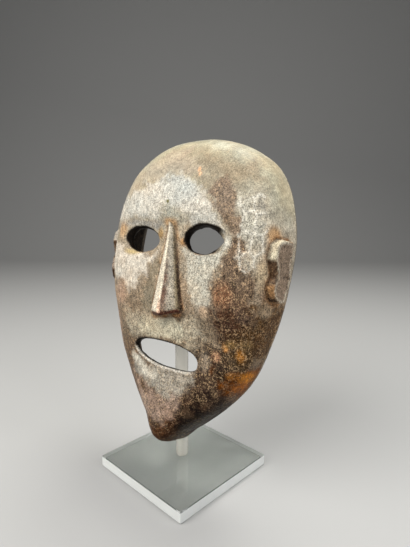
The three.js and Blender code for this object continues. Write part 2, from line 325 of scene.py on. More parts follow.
def nose_field(x, y, z):
    """The largest of the distances past the flanks, the worn ridge, the side walls and the slanted foot."""
    t = nose_share(z)
    ridge = nose_line((0.0, 0.0), "ridge", t)
    left_top = nose_line((NOSE_ROOT["left"], NOSE_TIP["left"]), "wall", t)
    right_top = nose_line((-NOSE_ROOT["right"], -NOSE_TIP["right"]), "wall", t)
    left, right = along_nose("left", t), along_nose("right", t)
    height = -y
    across = x - along_nose("x", t)
    left_fall = (ridge - left_top) / left
    right_fall = (ridge - right_top) / right
    left_flank = (height - (ridge - across * left_fall)) / np.hypot(1.0, left_fall)
    right_flank = (height - (ridge + across * right_fall)) / np.hypot(1.0, right_fall)
    worn_ridge = height - (ridge - NOSE_RIDGE_FLAT * np.clip(t, NOSE_FLAT_LEAST, 1.0))
    flanks = soft_max(soft_max(left_flank, right_flank, NOSE_WORN), worn_ridge, NOSE_WORN)
    walls = np.maximum(across - left, -across - right)
    rooted = np.clip((height - face_depth(x, z)) / NOSE_TIP["ridge"], 0.0, 1.0)
    foot_line = foot_height(x) - NOSE_FOOT_OVERHANG * rooted
    foot = foot_line - z
    high, deep = NOSE_FOOT_CUT
    past_flank = height - (ridge - np.where(across > 0, across * left_fall, -across * right_fall))
    cut = (past_flank / deep + 1.0 - (z - foot_line) / high) / math.hypot(1 / deep, 1 / high)
    return soft_max(soft_max(flanks, walls, NOSE_WORN), soft_max(foot, cut, NOSE_WORN), NOSE_WORN)


# %% Distances to the ears and the openings
def outline_distance(u, v, outline):
    """Distance in a plane to a closed outline of straight edges, below zero inside it."""
    nearest = np.full(u.shape, np.inf)
    inside = np.zeros(u.shape, bool)
    for (u0, v0), (u1, v1) in zip(outline, outline[1:] + outline[:1]):
        du, dv = u1 - u0, v1 - v0
        t = np.clip(((u - u0) * du + (v - v0) * dv) / (du * du + dv * dv), 0.0, 1.0)
        nearest = np.minimum(nearest, np.hypot(u - u0 - t * du, v - v0 - t * dv))
        if dv != 0:
            crosses = (v0 > v) != (v1 > v)
            inside ^= crosses & (u < u0 + (v - v0) * du / dv)
    return np.where(inside, -nearest, nearest)


def ear_field(x, y, z, ear):
    """An outline cut straight in from the side, under a dished skin that stands proud of the bowl."""
    field = np.full(x.shape, FAR)
    raised = ear["raised"]
    close = (x * ear["side"] > EAR_CLOSE) & (np.abs(z) < EAR_CLOSE)
    x, y, z = x[close], y[close], z[close]
    outline = outline_distance(y, z, ear["outline"])
    dish = EAR_DISH * smoothstep(*EAR_DISH_EDGE, -outline)
    skin = bowl_field(x, y, z, raised, raised, raised) + dish
    field[close] = soft_max(soft_max(outline, skin, EAR_WORN), y, RIM_WORN)
    return field


def opening_field(x, y, z, opening):
    """An oval with a size and a power for each quarter, which gets narrower from the face inwards."""
    dx, dz = x - opening["x"], z - opening["z"]
    to_left, upper = dx >= 0, dz >= 0
    up_left, down_left, down_right, up_right = opening["quarters"]
    narrowed = np.clip((y + face_depth(x, z)) / FLARE_DEPTH, 0.0, 1.0)
    power = np.where(to_left, np.where(upper, up_left, down_left), np.where(upper, up_right, down_right))
    power = power - opening["sharp"] * narrowed * to_left
    left, right, up, down = (
        opening[side] - flare * narrowed
        for side, flare in zip(("left", "right", "up", "down"), opening["flare"])
    )
    half = np.where(to_left, left, right)
    high = np.where(upper, up, down)
    return oval_field(np.abs(dx), np.abs(dz), half, high, power)


# %% The whole mask as one distance
def mask_field(x, y, z):
    """Bowl, nose and ears joined, then the hollow, the eyes and the mouth cut away."""
    body = soft_max(bowl_field(x, y, z), y, RIM_WORN)
    body = soft_min(body, nose_field(x, y, z), NOSE_GROOVE)
    for ear in (LEFT_EAR, RIGHT_EAR):
        body = soft_min(body, ear_field(x, y, z, ear), EAR_FOOT)
    body = soft_max(body, -hollow_field(x, y, z), RIM_WORN)
    for opening in (LEFT_EYE, RIGHT_EYE, MOUTH):
        above, below = opening["worn"]
        worn = np.where(z > opening["z"], above, below)
        body = soft_max(body, -opening_field(x, y, z, opening), worn)
    return body


# %% [markdown]
# ## From distances to a skin
# The block is divided into small cells. Wherever the distance changes sign along a cell's edge, the skin
# passes. Each such cell gets one point, at the mean of those crossings, and each crossed edge gets a
# four-sided face between the four cells around it. The points are then evened out along the skin and
# pulled exactly onto it. Everything is done on whole arrays, so it takes a few seconds.

# %% A skin over cells
def cells_round(edges, axis, order):
    """Indexes of the four cells round each grid edge along an axis: its own, less 0 or 1 across it."""
    u, v = (axis + 1) % 3, (axis + 2) % 3
    for du, dv in order:
        cell = edges.copy()
        cell[:, u] -= du
        cell[:, v] -= dv
        yield tuple(cell.T)


def cell_skin(values, axes):
    """One point for each cell that the zero level passes, one quad for each crossed grid edge."""
    counts = np.zeros([n - 1 for n in values.shape])
    sums = np.zeros(list(counts.shape) + [3])
    grid = np.meshgrid(*axes, indexing="ij")
    inside = values < 0
    crossings = []
    for axis in range(3):
        low = tuple(slice(None, -1) if k == axis else slice(None) for k in range(3))
        high = tuple(slice(1, None) if k == axis else slice(None) for k in range(3))
        crossed = inside[low] != inside[high]
        edges = np.argwhere(crossed)
        v0, v1 = values[low][crossed], values[high][crossed]
        t = v0 / (v0 - v1)
        points = np.stack([g[low][crossed] + t * (g[high][crossed] - g[low][crossed]) for g in grid], 1)
        crossings.append((axis, edges, inside[low][crossed]))
        for cell in cells_round(edges, axis, ((0, 0), (1, 0), (1, 1), (0, 1))):
            np.add.at(counts, cell, 1)
            np.add.at(sums, cell, points)
    used = counts > 0
    index = np.full(counts.shape, -1)
    index[used] = np.arange(used.sum())
    quads = []
    for axis, edges, starts_inside in crossings:
        corners = [index[cell] for cell in cells_round(edges, axis, ((1, 1), (0, 1), (0, 0), (1, 0)))]
        quad = np.stack(corners, 1)
        quads.append(np.where(starts_inside[:, None], quad, quad[:, ::-1]))
    return sums[used] / counts[used][:, None], np.concatenate(quads)


# %% Pull the points onto the skin and even them out
FINE_STEP = 0.15
NORMAL_STEP = 0.3
PULL_REACH = 0.8
EVEN_SHARE = 0.6
LEAST_SQUARE = 0.05
TINY = 1e-9


def field_slope(field, points, step):
    """Central differences of a distance along the three axes."""
    x, y, z = points.T
    dx = field(x + step, y, z) - field(x - step, y, z)
    dy = field(x, y + step, z) - field(x, y - step, z)
    dz = field(x, y, z + step) - field(x, y, z - step)
    return np.stack([dx, dy, dz], 1) / (2.0 * step)


def outward(field, points):
    """The distance's slope, brought to length 1."""
    slope = field_slope(field, points, NORMAL_STEP)
    return slope / np.maximum(np.linalg.norm(slope, axis=1, keepdims=True), TINY)


def pull_to_skin(field, points, rounds):
    """Newton steps of -distance * slope / slope^2, each no longer than PULL_REACH."""
    for _ in range(rounds):
        slope = field_slope(field, points, FINE_STEP)
        square = np.maximum((slope**2).sum(1), LEAST_SQUARE)
        move = -(field(*points.T) / square)[:, None] * slope
        length = np.maximum(np.linalg.norm(move, axis=1, keepdims=True), TINY)
        points = points + move * np.minimum(1.0, PULL_REACH / length)
    return points


def quad_mean(quads, rows, count):
    """The mean, over each point's quads, of one row of values for each quad."""
    ids = quads.ravel()
    per_point = np.maximum(np.bincount(ids, minlength=count), 1)
    return np.stack([np.bincount(ids, np.repeat(column, 4), count) / per_point for column in rows.T], 1)


def even_out(field, points, quads, rounds):
    """Moves each point towards the middle of its quads, along the skin only, and pulls it back onto it."""
    for _ in range(rounds):
        middle = quad_mean(quads, points[quads].mean(1), len(points))
        normal = outward(field, points)
        move = (middle - points) * EVEN_SHARE
        move -= normal * (move * normal).sum(1, keepdims=True)
        points = pull_to_skin(field, points + move, 1)
    return points


# %% Cut the mask's skin
# The face gets the finer cells. The wall behind it, which runs straight back, gets longer ones.
CELL = 1.3
CELL_DEEP = 2.0
BLOCK_SIDES = (-97.4, 95.9)
BLOCK_HEIGHT = (-CHIN - 3.4, CROWN + 3.9)
BLOCK_FRONT, FRONT_END, BLOCK_REAR = -70.0, -36.0, 3.0


def cell_levels(low, high, size):
    """Evenly spaced levels from low to high, about one cell apart."""
    return np.linspace(low, high, int(round((high - low) / size)) + 1)


def make_skin():
    """Distances at the grid's corners, then the cells' skin, pulled on, evened out and pulled on again."""
    x = cell_levels(*BLOCK_SIDES, CELL)
    z = cell_levels(*BLOCK_HEIGHT, CELL)
    front = cell_levels(BLOCK_FRONT, FRONT_END, CELL)
    rear = cell_levels(FRONT_END, BLOCK_REAR, CELL_DEEP)
    y = np.concatenate([front, rear[1:]])
    grid = np.meshgrid(x, y, z, indexing="ij")
    values = mask_field(*[g.ravel() for g in grid]).reshape(grid[0].shape)
    points, quads = cell_skin(values, (x, y, z))
    points = pull_to_skin(mask_field, points, rounds=2)
    points = even_out(mask_field, points, quads, rounds=2)
    return pull_to_skin(mask_field, points, rounds=2), quads


skin_points, skin_quads = make_skin()
print("skin:", len(skin_points), "points,", 2 * len(skin_quads), "triangles")

# %% [markdown]
# ## Tool marks
# Up close the face isn't smooth: a small flat chisel took off the wood in hundreds of shallow cuts, and
# handling wore their edges. Each cut is a cell round a random point, deepest in the middle, with a low
# ridge where two cuts meet. The temples were left in larger facets, and the hollow was roughed out with
# a gouge and left rough. A bump in the material would look the same from in front, but it wouldn't reach
# the outline or the mesh, so the points themselves are moved.

# %% Random values in space
TABLE_SIZE = 32
CLOUD_SPREAD = 1.6


def random_table(seed):
    """A cube of random numbers from 0 to 1, the same ones for the same seed."""
    return np.random.default_rng(seed).random((TABLE_SIZE, TABLE_SIZE, TABLE_SIZE))


def cloud(points, size, seed):
    """Smooth random values from 0 to 1: a table of random numbers, blended between its corners."""
    table = random_table(seed)
    p = points / size
    base = np.floor(p).astype(int)
    u = p - base
    u = u * u * (3 - 2 * u)
    total = np.zeros(len(p))
    for corner in range(8):
        step = np.array([corner & 1, corner >> 1 & 1, corner >> 2 & 1])
        weight = np.prod(np.where(step, u, 1 - u), axis=1)
        i, j, k = ((base + step) % TABLE_SIZE).T
        total += weight * table[i, j, k]
    return total


def mottle(points, size, seed, octaves=3):
    """Clouds of halving size and weight, added up, divided by their weights and spread to about 0 to 1."""
    total = sum(cloud(points, size / 2**k, seed + k) / 2**k for k in range(octaves))
    return np.clip((total / (2 - 2 ** (1 - octaves)) - 0.5) * CLOUD_SPREAD + 0.5, 0, 1)


# %% Cuts of the chisel and the gouge
CHUNK = 8192


def scatter(points, spacing, tries, seed):
    """Random points of the skin that keep their distance from each other."""
    order = np.random.default_rng(seed).permutation(len(points))[:tries]
    kept = np.full((len(order), 3), 1e6)
    count = 0
    for p in points[order]:
        if np.min(((kept[: count + 1] - p) ** 2).sum(1)) > spacing**2:
            kept[count] = p
            count += 1
    return kept[:count]


def cut_edges(points, seeds):
    """Distance from each point to its cut's edge: half the gap between its nearest and second seed."""
    edge = np.empty(len(points))
    for start in range(0, len(points), CHUNK):
        part = points[start : start + CHUNK]
        square = (part**2).sum(1)[:, None] + (seeds**2).sum(1)[None] - 2 * part @ seeds.T
        two = np.sqrt(np.maximum(np.partition(square, 1, axis=1)[:, :2], 0))
        edge[start : start + CHUNK] = np.abs(two[:, 1] - two[:, 0]) / 2
    return edge


# %% Carve the marks into the skin
# tool: side of the wall, spacing of its cuts, random places tried, seed, width of a cut's rounded edge
TOOLS = {
    "chisel": ("outside", 5.0, 9000, 3, 1.2),
    "facet": ("outside", 8.0, 4000, 5, 2.0),
    "gouge": ("inside", 8.5, 4000, 4, 2.2),
}
CUTS_LONG = 1.5
CHISEL_DEEP, FACET_DEEP, GOUGE_DEEP = 0.22, 0.75, 0.8
WORN_CROWN = (60.0, 90.0)
CROWN_WEAR = 0.7
SKIN_REACH = 2.0
OUTSIDE_FROM, INSIDE_FROM = (-1.0, -5.0), (-3.0, -9.0)
TEMPLE_AT, TEMPLE_RADII = (71.0, -45.0, 32.0), (18.0, 22.0, 42.0)
WANDER_SIZE, WANDER_SEED, WANDER = 26.0, 20, 0.9


def near(points, centre, radii):
    """1 at a centre, 0 outside an egg of the given radii round it, smooth between."""
    d = (points - np.array(centre)) / np.array(radii)
    return 1 - smoothstep(0.0, 1.0, np.sqrt((d**2).sum(1)))


def on_wall(distance, y, fade):
    """e^-(distance / SKIN_REACH)^2: 1 on one side of the wall, fading out towards the rear edge."""
    return np.exp(-((distance / SKIN_REACH) ** 2)) * smoothstep(*fade, y)


def carve_marks(points):
    """Moves points along their normals: cells of chisel, facet and gouge, and a slow wander of the form."""
    x, y, z = points.T
    sides = {
        "outside": on_wall(bowl_field(x, y, z), y, OUTSIDE_FROM),
        "inside": on_wall(hollow_field(x, y, z), y, INSIDE_FROM),
    }
    stretched = points / np.array([1.0, 1.0, CUTS_LONG])
    edges, rounded = {}, {}
    for tool, (side, spacing, tries, seed, width) in TOOLS.items():
        seeds = scatter(stretched[sides[side] > 0.5], spacing, tries, seed)
        edges[tool] = cut_edges(stretched, seeds)
        rounded[tool] = 1 - np.exp(-edges[tool] / width)
        print(tool, "cuts:", len(seeds))
    mirrored = np.abs(points) * [1, 0, 0] + points * [0, 1, 1]
    temple = np.clip(2.0 * near(mirrored, TEMPLE_AT, TEMPLE_RADII), 0, 1)
    chisel_deep = CHISEL_DEEP * (1 - temple) * (1 - CROWN_WEAR * smoothstep(*WORN_CROWN, z))
    cuts = chisel_deep * rounded["chisel"] + FACET_DEEP * temple * rounded["facet"]
    depth = sides["outside"] * cuts + sides["inside"] * GOUGE_DEEP * rounded["gouge"]
    slow = (mottle(points, WANDER_SIZE, WANDER_SEED) - 0.5) * WANDER
    wander = slow * np.clip(sides["outside"] + sides["inside"], 0, 1)
    normal = outward(mask_field, points)
    return points + normal * (wander - depth)[:, None], edges, sides["outside"], sides["inside"], normal


carved_points, cut_edge, outside, inside_hollow, skin_normal = carve_marks(skin_points)
moved = np.linalg.norm(carved_points - skin_points, axis=1)
print("marks: mean", moved.mean().round(2), "mm, deepest", moved.max().round(2), "mm")

# %% [markdown]
# ## Patina
# An old surface isn't coloured at random: hands and soot left each patch where it is. Noise alone would
# put the patches anywhere, so the colour is painted on the mesh as an attribute, and painted light and
# shade go into it too. First comes a ground that goes from olive beige on the crown to dark brown on the
# jaw, with a painted highlight along the crown's top edge and painted shade under the chin. Then come
# patches where handling polished the wood grey and pale, with the sheen of the overhead light on that
# polish painted in, or where it stayed red-brown, each an outline seen from the front or from the left
# side whose border is broken up by clouds, and small round spots. Last, sheltered places get orange-brown
# dirt, the tightest creases get painted shade, and exposed edges are worn pale. The same distances that
# carved the form tell how sheltered a place is.

# %% Sheltered and exposed places
def shelter(points, normal, reach):
    """How much nearer other wood is than reach, at reach before the skin: 0 in the open, 1 in a corner."""
    ahead = mask_field(*(points + normal * reach).T)
    return np.clip(1.0 - ahead / reach, 0.0, 1.0)


def exposure(points, normal, reach):
    """How much nearer air is than reach, at reach behind the skin: 0 on a plain wall, 1 on a sharp edge."""
    behind = -mask_field(*(points - normal * reach).T)
    return np.clip(1.0 - behind / reach, 0.0, 1.0)


# %% Ground and patches of the patina
# The two highest stops are a painted highlight along the crown's top edge, and the two lowest add painted
# shade under the chin to its dark patina.
GROUND = (
    (-153, (0.018, 0.009, 0.005)),
    (-115, (0.045, 0.022, 0.011)),
    (-85, (0.090, 0.057, 0.035)),
    (-60, (0.100, 0.073, 0.048)),
    (-20, (0.235, 0.183, 0.128)),
    (20, (0.275, 0.233, 0.170)),
    (45, (0.355, 0.310, 0.235)),
    (85, (0.325, 0.290, 0.202)),
    (102, (0.275, 0.252, 0.180)),
    (110, (0.410, 0.400, 0.310)),
    (119, (0.700, 0.690, 0.560)),
)

# The pale patches of the forehead, the temple and the cheeks are wood polished by handling, with the sheen of
# the overhead light on it painted into their colour.
# name, view, outline, colour, width of the border, raggedness, speckle, grain
PATCHES = (
    ("rosy crown", "front",
     ((-60, 66), (-43, 78), (-34, 88), (-14, 96), (5, 98), (19, 90), (28, 78), (16, 72), (-5, 72), (-27, 70)),
     (0.33, 0.279, 0.206), 16, 6, 0.1, 0.6),
    ("grey crown", "front",
     ((15, 88), (36, 92), (60, 92), (72, 80), (66, 70), (51, 68), (36, 70), (20, 74)),
     (0.232, 0.193, 0.132), 16, 6, 0.2, 0.65),
    ("back of the crown", "side",
     ((-30, 60), (-34, 100), (0, 110), (2, 60)),
     (0.368, 0.326, 0.225), 12, 4, 0.1, 0.65),
    ("pale forehead", "front",
     ((-84, 44), (-74, 52), (-63, 58), (-48, 65), (-26, 69), (-12, 73), (6, 75), (20, 70), (33, 63), (38, 55),
      (42, 47), (47, 40), (52, 33), (40, 36), (28, 37), (20, 36), (14, 40), (6, 45), (-5, 47), (-14, 40),
      (-36, 40), (-63, 40), (-82, 40)),
     (0.43, 0.411, 0.358), 8, 4, 0.3, 0.9),
    ("grey over the nose", "front",
     ((-10, 50), (12, 47), (19, 39), (14, 35), (7, 33), (-8, 35), (-14, 42)),
     (0.302, 0.284, 0.225), 8, 4, 0.4, 1.0),
    ("shaded brow", "front",
     ((-72, 34), (-58, 36), (-45, 37), (-23, 36), (-10, 36), (-13, 29), (-22, 29), (-37, 32), (-53, 31),
      (-70, 28)),
     (0.232, 0.217, 0.188), 4, 1, 0.4, 1.0),
    ("brown band", "front",
     ((39, 67), (43, 73), (49, 73), (53, 67), (56, 60), (59, 53), (62, 45), (66, 37), (66, 30), (62, 24),
      (58, 28), (54, 34), (49, 40), (46, 44), (42, 51), (39, 57), (37, 62)),
     (0.154, 0.112, 0.078), 5, 4, 0.8, 1.2),
    ("brown neck", "front",
     ((58, 44), (66, 44), (67, 30), (66, 18), (66, 8), (56, 8), (58, 18), (61, 26)),
     (0.21, 0.15, 0.102), 3, 2, 0.8, 1.2),
    ("pale temple", "front",
     ((62, 57), (67, 61), (74, 64), (76, 58), (79, 50), (82, 41), (84, 30), (82, 20), (79, 14), (76, 6),
      (72, 2), (68, 4), (65, 13), (66, 22), (64, 29), (66, 35), (66, 41), (66, 46), (63, 51), (60, 54)),
     (0.325, 0.298, 0.237), 3, 2, 0.3, 1.2),
    ("left cheek", "front",
     ((14, 14), (22, 14), (35, 13), (46, 14), (57, 27), (60, 23), (54, 16), (51, 7), (48, -1), (46, -7),
      (45, -15), (46, -27), (36, -33), (29, -24), (24, -9), (20, 0)),
     (0.364, 0.341, 0.279), 6, 4, 0.4, 1.15),
    ("right cheek", "front",
     ((-78, 20), (-57, 15), (-49, 9), (-33, 8), (-20, 8), (-10, 11), (-13, 5), (-19, -1), (-22, -6),
      (-31, -12), (-38, -21), (-49, -20), (-60, -17), (-76, -10)),
     (0.465, 0.421, 0.353), 9, 5, 0.4, 0.8),
    # Painted shade in the groove beside the nose:
    ("groove", "front",
     ((-19, -3), (-13, 6), (-8, -5), (-11, -21), (-15, -38), (-24, -44), (-27, -40), (-25, -23), (-20, -11)),
     (0.184, 0.153, 0.107), 6, 3, 0.4, 1.0),
    ("brown cheek", "front",
     ((59, 26), (62, 29), (66, 22), (69, 13), (73, 6), (77, 0), (81, -7), (82, -17), (81, -32), (75, -45),
      (68, -48), (59, -46), (54, -40), (50, -30), (45, -19), (47, -9), (50, 0), (53, 11)),
     (0.105, 0.071, 0.047), 7, 6, 1.1, 1.5),
    ("muzzle", "front",
     ((-50, -40), (-35, -44), (-17, -38), (-3, -38), (18, -38), (28, -38), (37, -43), (39, -51), (32, -60),
      (28, -65), (21, -59), (8, -57), (-10, -57), (-25, -60), (-38, -68), (-44, -66), (-48, -56)),
     (0.275, 0.237, 0.174), 10, 5, 0.6, 1.35),
    ("lip", "front",
     ((-30, -62), (-26, -48), (-7, -43), (16, -43), (22, -50), (18, -60), (-3, -62)),
     (0.363, 0.325, 0.237), 8, 3, 0.4, 1.1),
    ("under the mouth", "front",
     ((-42, -80), (-37, -83), (-24, -87), (-8, -88), (13, -88), (26, -86), (33, -84), (32, -90), (26, -99),
      (16, -110), (8, -112), (-3, -109), (-16, -104), (-26, -98), (-38, -92)),
     (0.235, 0.21, 0.17), 8, 4, 0.6, 1.2),
    ("mouth's right corner", "front",
     ((-42, -80), (-37, -83), (-24, -88), (-8, -90), (-4, -96), (-14, -100), (-26, -96), (-38, -90)),
     (0.421, 0.381, 0.31), 5, 3, 0.4, 1.0),
    ("plum chin", "front",
     ((-44, -95), (-34, -103), (-14, -108), (8, -111), (21, -107), (23, -116), (14, -129), (7, -135),
      (2, -137), (-7, -135), (-22, -124)),
     (0.205, 0.143, 0.107), 10, 5, 0.8, 1.5),
    # The chin tip and the black chin are dark patina with painted shade of the chin's underside on top:
    ("chin tip", "front",
     ((-16, -133), (-7, -133), (7, -134), (16, -123), (21, -118), (18, -131), (6, -156), (-6, -156)),
     (0.056, 0.02, 0.006), 9, 5, 0.9, 1.7),
    ("black chin", "front",
     ((17, -128), (26, -113), (39, -112), (44, -117), (37, -130), (22, -142), (10, -156), (4, -150),
      (11, -138)),
     (0.003, 0.0005, 0.0002), 10, 5, 0.2, 1.3),
    ("dark cheek", "front",
     ((47, -30), (59, -26), (69, -28), (75, -36), (76, -50), (63, -56), (54, -53), (47, -43)),
     (0.034, 0.014, 0.007), 12, 6, 0.8, 1.6),
    ("speckled jaw", "front",
     ((34, -67), (49, -58), (59, -55), (63, -61), (63, -74), (57, -84), (55, -95), (48, -102), (40, -106),
      (30, -106), (25, -102), (33, -90), (34, -80)),
     (0.036, 0.021, 0.013), 12, 6, 1.5, 1.6),
    ("mixed jaw", "front",
     ((60, -45), (74, -46), (82, -50), (78, -66), (69, -74), (62, -72), (57, -62)),
     (0.04, 0.021, 0.007), 10, 6, 1.5, 1.6),
    ("side of the jaw", "side",
     ((-41, -25), (-27, -20), (-8, -18), (6, -18), (6, -70), (-16, -66), (-33, -50)),
     (0.055, 0.025, 0.007), 14, 6, 1.1, 1.5),
    ("ochre jaw", "side",
     ((-33, -76), (-24, -73), (-12, -73), (4, -72), (6, -92), (-8, -100), (-22, -97), (-29, -88)),
     (0.088, 0.024, 0.001), 9, 7, 0.5, 1.5),
    # The black jaw is dark patina with painted shade of the jaw's underside on top:
    ("black jaw", "side",
     ((-30, -95), (-24, -98), (-20, -100), (-10, -104), (4, -100), (6, -150), (-17, -150), (-26, -118)),
     (0.007, 0.002, 0.001), 10, 6, 0.4, 1.3),
)


# %% Covers for the patches
GROUND_CLOUDS, GROUND_SEED, GROUND_SWAY = 30.0, 70, 40.0
BORDER_CLOUDS, BORDER_CRUMBS = 11.0, 3.6
PATCH_SEED, PATCH_SEEDS = 100, 20
FRONT_VIEW_TO = -20.0

# use: size of the clouds in mm, seed, least value, swing
CLOUDS = {
    "spots": (5.0, 60, 1.1, 0.8),
    "lips": (4.0, 62, 0.7, 0.5),
    "dirt": (6.0, 90, 0.4, 0.8),
    "worn edges": (7.0, 95, 0.4, 0.8),
    "nose's rust": (8.0, 91, 0.0, 1.0),
    "nose's pale flank": (6.0, 92, 0.5, 1.0),
    "nose's red flank": (5.0, 94, 0.5, 1.0),
    "ear's foot": (8.0, 93, 0.1, 0.8),
    "ear's upper wall": (4.0, 98, 0.35, 0.75),
    "ear's notch": (3.5, 99, 1.1, -0.7),
    "ear's lip": (5.0, 97, 0.1, 0.9),
    "ear's foot shadow": (6.0, 96, 0.3, 0.6),
}


def broken(use):
    """least + swing * clouds at each point of the skin, to break a cover up."""
    size, seed, least, swing = CLOUDS[use]
    return least + swing * mottle(skin_points, size, seed)


def close_to(distance, full, none):
    """1 where a distance is within full of zero, 0 beyond none."""
    return smoothstep(none, full, np.abs(distance))


def outline_cover(points, view, outline, soft, ragged, seed):
    """1 inside an outline seen along one axis, 0 outside, with a border of width soft bent by clouds."""
    bend = [(mottle(points, BORDER_CLOUDS, seed + k) - 0.5) * 2.0 * ragged for k in (0, 5)]
    x, y, z = points.T
    across = (x if view == "front" else y) + bend[0]
    distance = outline_distance(across, z + bend[1], outline)
    distance += (mottle(points, BORDER_CRUMBS, seed + 9) - 0.5) * (1.5 + 0.6 * soft)
    on_view = (y < FRONT_VIEW_TO) if view == "front" else (x > 0.0)
    return smoothstep(soft / 2.0, -soft / 2.0, distance) * on_view


def ground_tone(points):
    """The ground colour at each height, with the height moved up and down by clouds."""
    height = points[:, 2] + (mottle(points, GROUND_CLOUDS, GROUND_SEED) - 0.5) * GROUND_SWAY
    levels = [level for level, _ in GROUND]
    tones = np.array([tone for _, tone in GROUND])
    return np.stack([np.interp(height, levels, tones[:, k]) for k in range(3)], 1)


def lay(colour, tone, cover):
    """Blends a tone into the colour by a cover from 0 to 1."""
    colour += (np.array(tone) - colour) * np.clip(cover, 0, 1)[:, None]


# %% Tones of the dirt, the edges, the nose and the ears, and of painted light and shade
DIRT = (0.20, 0.095, 0.035)
# Painted shade for the tightest creases:
CREASE_SHADE = (0.030, 0.015, 0.008)
WORN_EDGE = (0.50, 0.45, 0.35)
FACET_EDGE = (0.60, 0.57, 0.49)
# Painted shade for the hollow, its gouge edges a little lighter, the openings' walls and the rear rim:
HOLLOW_SHADE = (0.008, 0.005, 0.003)
GOUGE_EDGE = (0.034, 0.022, 0.014)
OPENING_WALL_SHADE = (0.005, 0.003, 0.002)
REAR_RIM_SHADE = (0.020, 0.013, 0.009)
# Worn pale with a painted highlight, the mouth's edge and the nose's ridge:
LIP_WEAR_AND_HIGHLIGHT = (0.50, 0.48, 0.42)
RIDGE_WEAR_AND_HIGHLIGHT = ((0.62, 0.56, 0.44), (0.70, 0.47, 0.34))
# The right flank is painted lit and the left one shaded; the left one's outer edge, the side walls and the
# foot get painted shade:
LEFT_FLANK_SHADED, RIGHT_FLANK_LIT = (0.235, 0.208, 0.160), (0.53, 0.475, 0.38)
FLANK_PALE, FLANK_EDGE, FLANK_RED = (0.32, 0.29, 0.235), (0.130, 0.100, 0.055), (0.100, 0.056, 0.040)
NOSE_WALL_SHADE, NOSE_FOOT = (0.022, 0.011, 0.006), (0.060, 0.020, 0.012)
NOSE_RUST = (0.27, 0.165, 0.085)
EAR_FACE, EAR_NOTCH = (0.190, 0.140, 0.100), (0.022, 0.009, 0.004)
CANTHUS = (0.50, 0.48, 0.41)

# %% Paint the nose
# Places are in mm, shares go from 0 to 1, and a pair is (none at, full at) or (full within, none beyond).
NOSE_SKIN = (0.2, 1.2)
NOSE_TOP, NOSE_BOTTOM = 36.0, (-45.0, -43.0)
BESIDE_TOP, BESIDE_BOTTOM, BESIDE_FRONT = 33.5, (-38.5, -34.5), -40.0
RUST_BESIDE, RUST_FROM = (7.0, 2.0), -1.0
LEFT_RUST_TO, RIGHT_RUST_TO = (0.95, 0.3), 0.45
PALE_STREAK, PALE_WIDTH = 0.45, 0.2
FLANK_EDGE_FROM, FLANK_RED_FROM, FLANK_RED_TO = (0.72, 0.95), (0.25, 0.65), (0.6, 0.15)
WALL_INNER, LEFT_WALL_OUTER, RIGHT_WALL_OUTER = (-0.9, 0.2), (3.0, 1.6), (1.8, 0.8)
FOOT_FACES, FOOT_HEIGHT = (0.25, 0.5), (1.5, -0.5)
RIDGE_HALF, RIDGE_GROWS, RIDGE_TIP = 0.8, 0.9, (0.75, 0.97)


def paint_nose(colour, points):
    """Rust beside the nose, flanks painted lit and shaded, side walls and foot painted shaded, worn ridge
    painted lit.
    """
    x, y, z = points.T
    on_nose = close_to(nose_field(x, y, z), *NOSE_SKIN) * smoothstep(*NOSE_BOTTOM, z) * (z < NOSE_TOP)
    beside = (z < BESIDE_TOP) * smoothstep(*BESIDE_BOTTOM, z) * (y < BESIDE_FRONT)
    t = np.clip(nose_share(z), 0, 1)
    across = x - along_nose("x", t)
    past_left, past_right = across - along_nose("left", t), -across - along_nose("right", t)
    rust = smoothstep(*RUST_BESIDE, np.maximum(past_left, past_right)) * broken("nose's rust") * beside
    lay(colour, NOSE_RUST, rust * (past_left > RUST_FROM) * smoothstep(*LEFT_RUST_TO, t) * 1.5)
    lay(colour, NOSE_RUST, rust * (past_right > RUST_FROM) * (t < RIGHT_RUST_TO))
    lay(colour, LEFT_FLANK_SHADED, on_nose * (across > 0))
    share = across / np.maximum(along_nose("left", t), 1.0)
    pale = np.exp(-(((share - PALE_STREAK) / PALE_WIDTH) ** 2)) * broken("nose's pale flank")
    lay(colour, FLANK_PALE, on_nose * (across > 0) * pale * 0.8)
    # Painted shade where the left flank turns away towards its wall:
    lay(colour, FLANK_EDGE, on_nose * smoothstep(*FLANK_EDGE_FROM, share) * 0.85)
    red = smoothstep(*FLANK_RED_TO, share) * (across > 0) * smoothstep(*FLANK_RED_FROM, t)
    lay(colour, FLANK_RED, on_nose * red * broken("nose's red flank"))
    lay(colour, RIGHT_FLANK_LIT, on_nose * (across <= 0))
    # Painted shade on the side walls:
    wall = smoothstep(*WALL_INNER, past_left) * smoothstep(*LEFT_WALL_OUTER, past_left)
    lay(colour, NOSE_WALL_SHADE, wall * beside * (0.5 + 0.5 * smoothstep(0.1, 0.5, t)))
    wall = smoothstep(*WALL_INNER, past_right) * smoothstep(*RIGHT_WALL_OUTER, past_right)
    lay(colour, NOSE_WALL_SHADE, wall * beside * 0.7)
    # Painted shade on the foot's underside:
    above_foot = z - (foot_height(x) + NOSE_FOOT_CUT[0])
    under = on_nose * smoothstep(*FOOT_FACES, -skin_normal[:, 2]) * smoothstep(*FOOT_HEIGHT, above_foot)
    lay(colour, NOSE_FOOT, under)
    # The ridge, worn pale and painted with a highlight:
    half = RIDGE_HALF + RIDGE_GROWS * t
    ridge = on_nose * smoothstep(half + 0.6, half - 0.4, np.abs(across + 0.4 * half)) * (1 - under)
    top, tip = np.array(RIDGE_WEAR_AND_HIGHLIGHT)
    lay(colour, top + (tip - top) * smoothstep(*RIDGE_TIP, t)[:, None], ridge * 0.95)


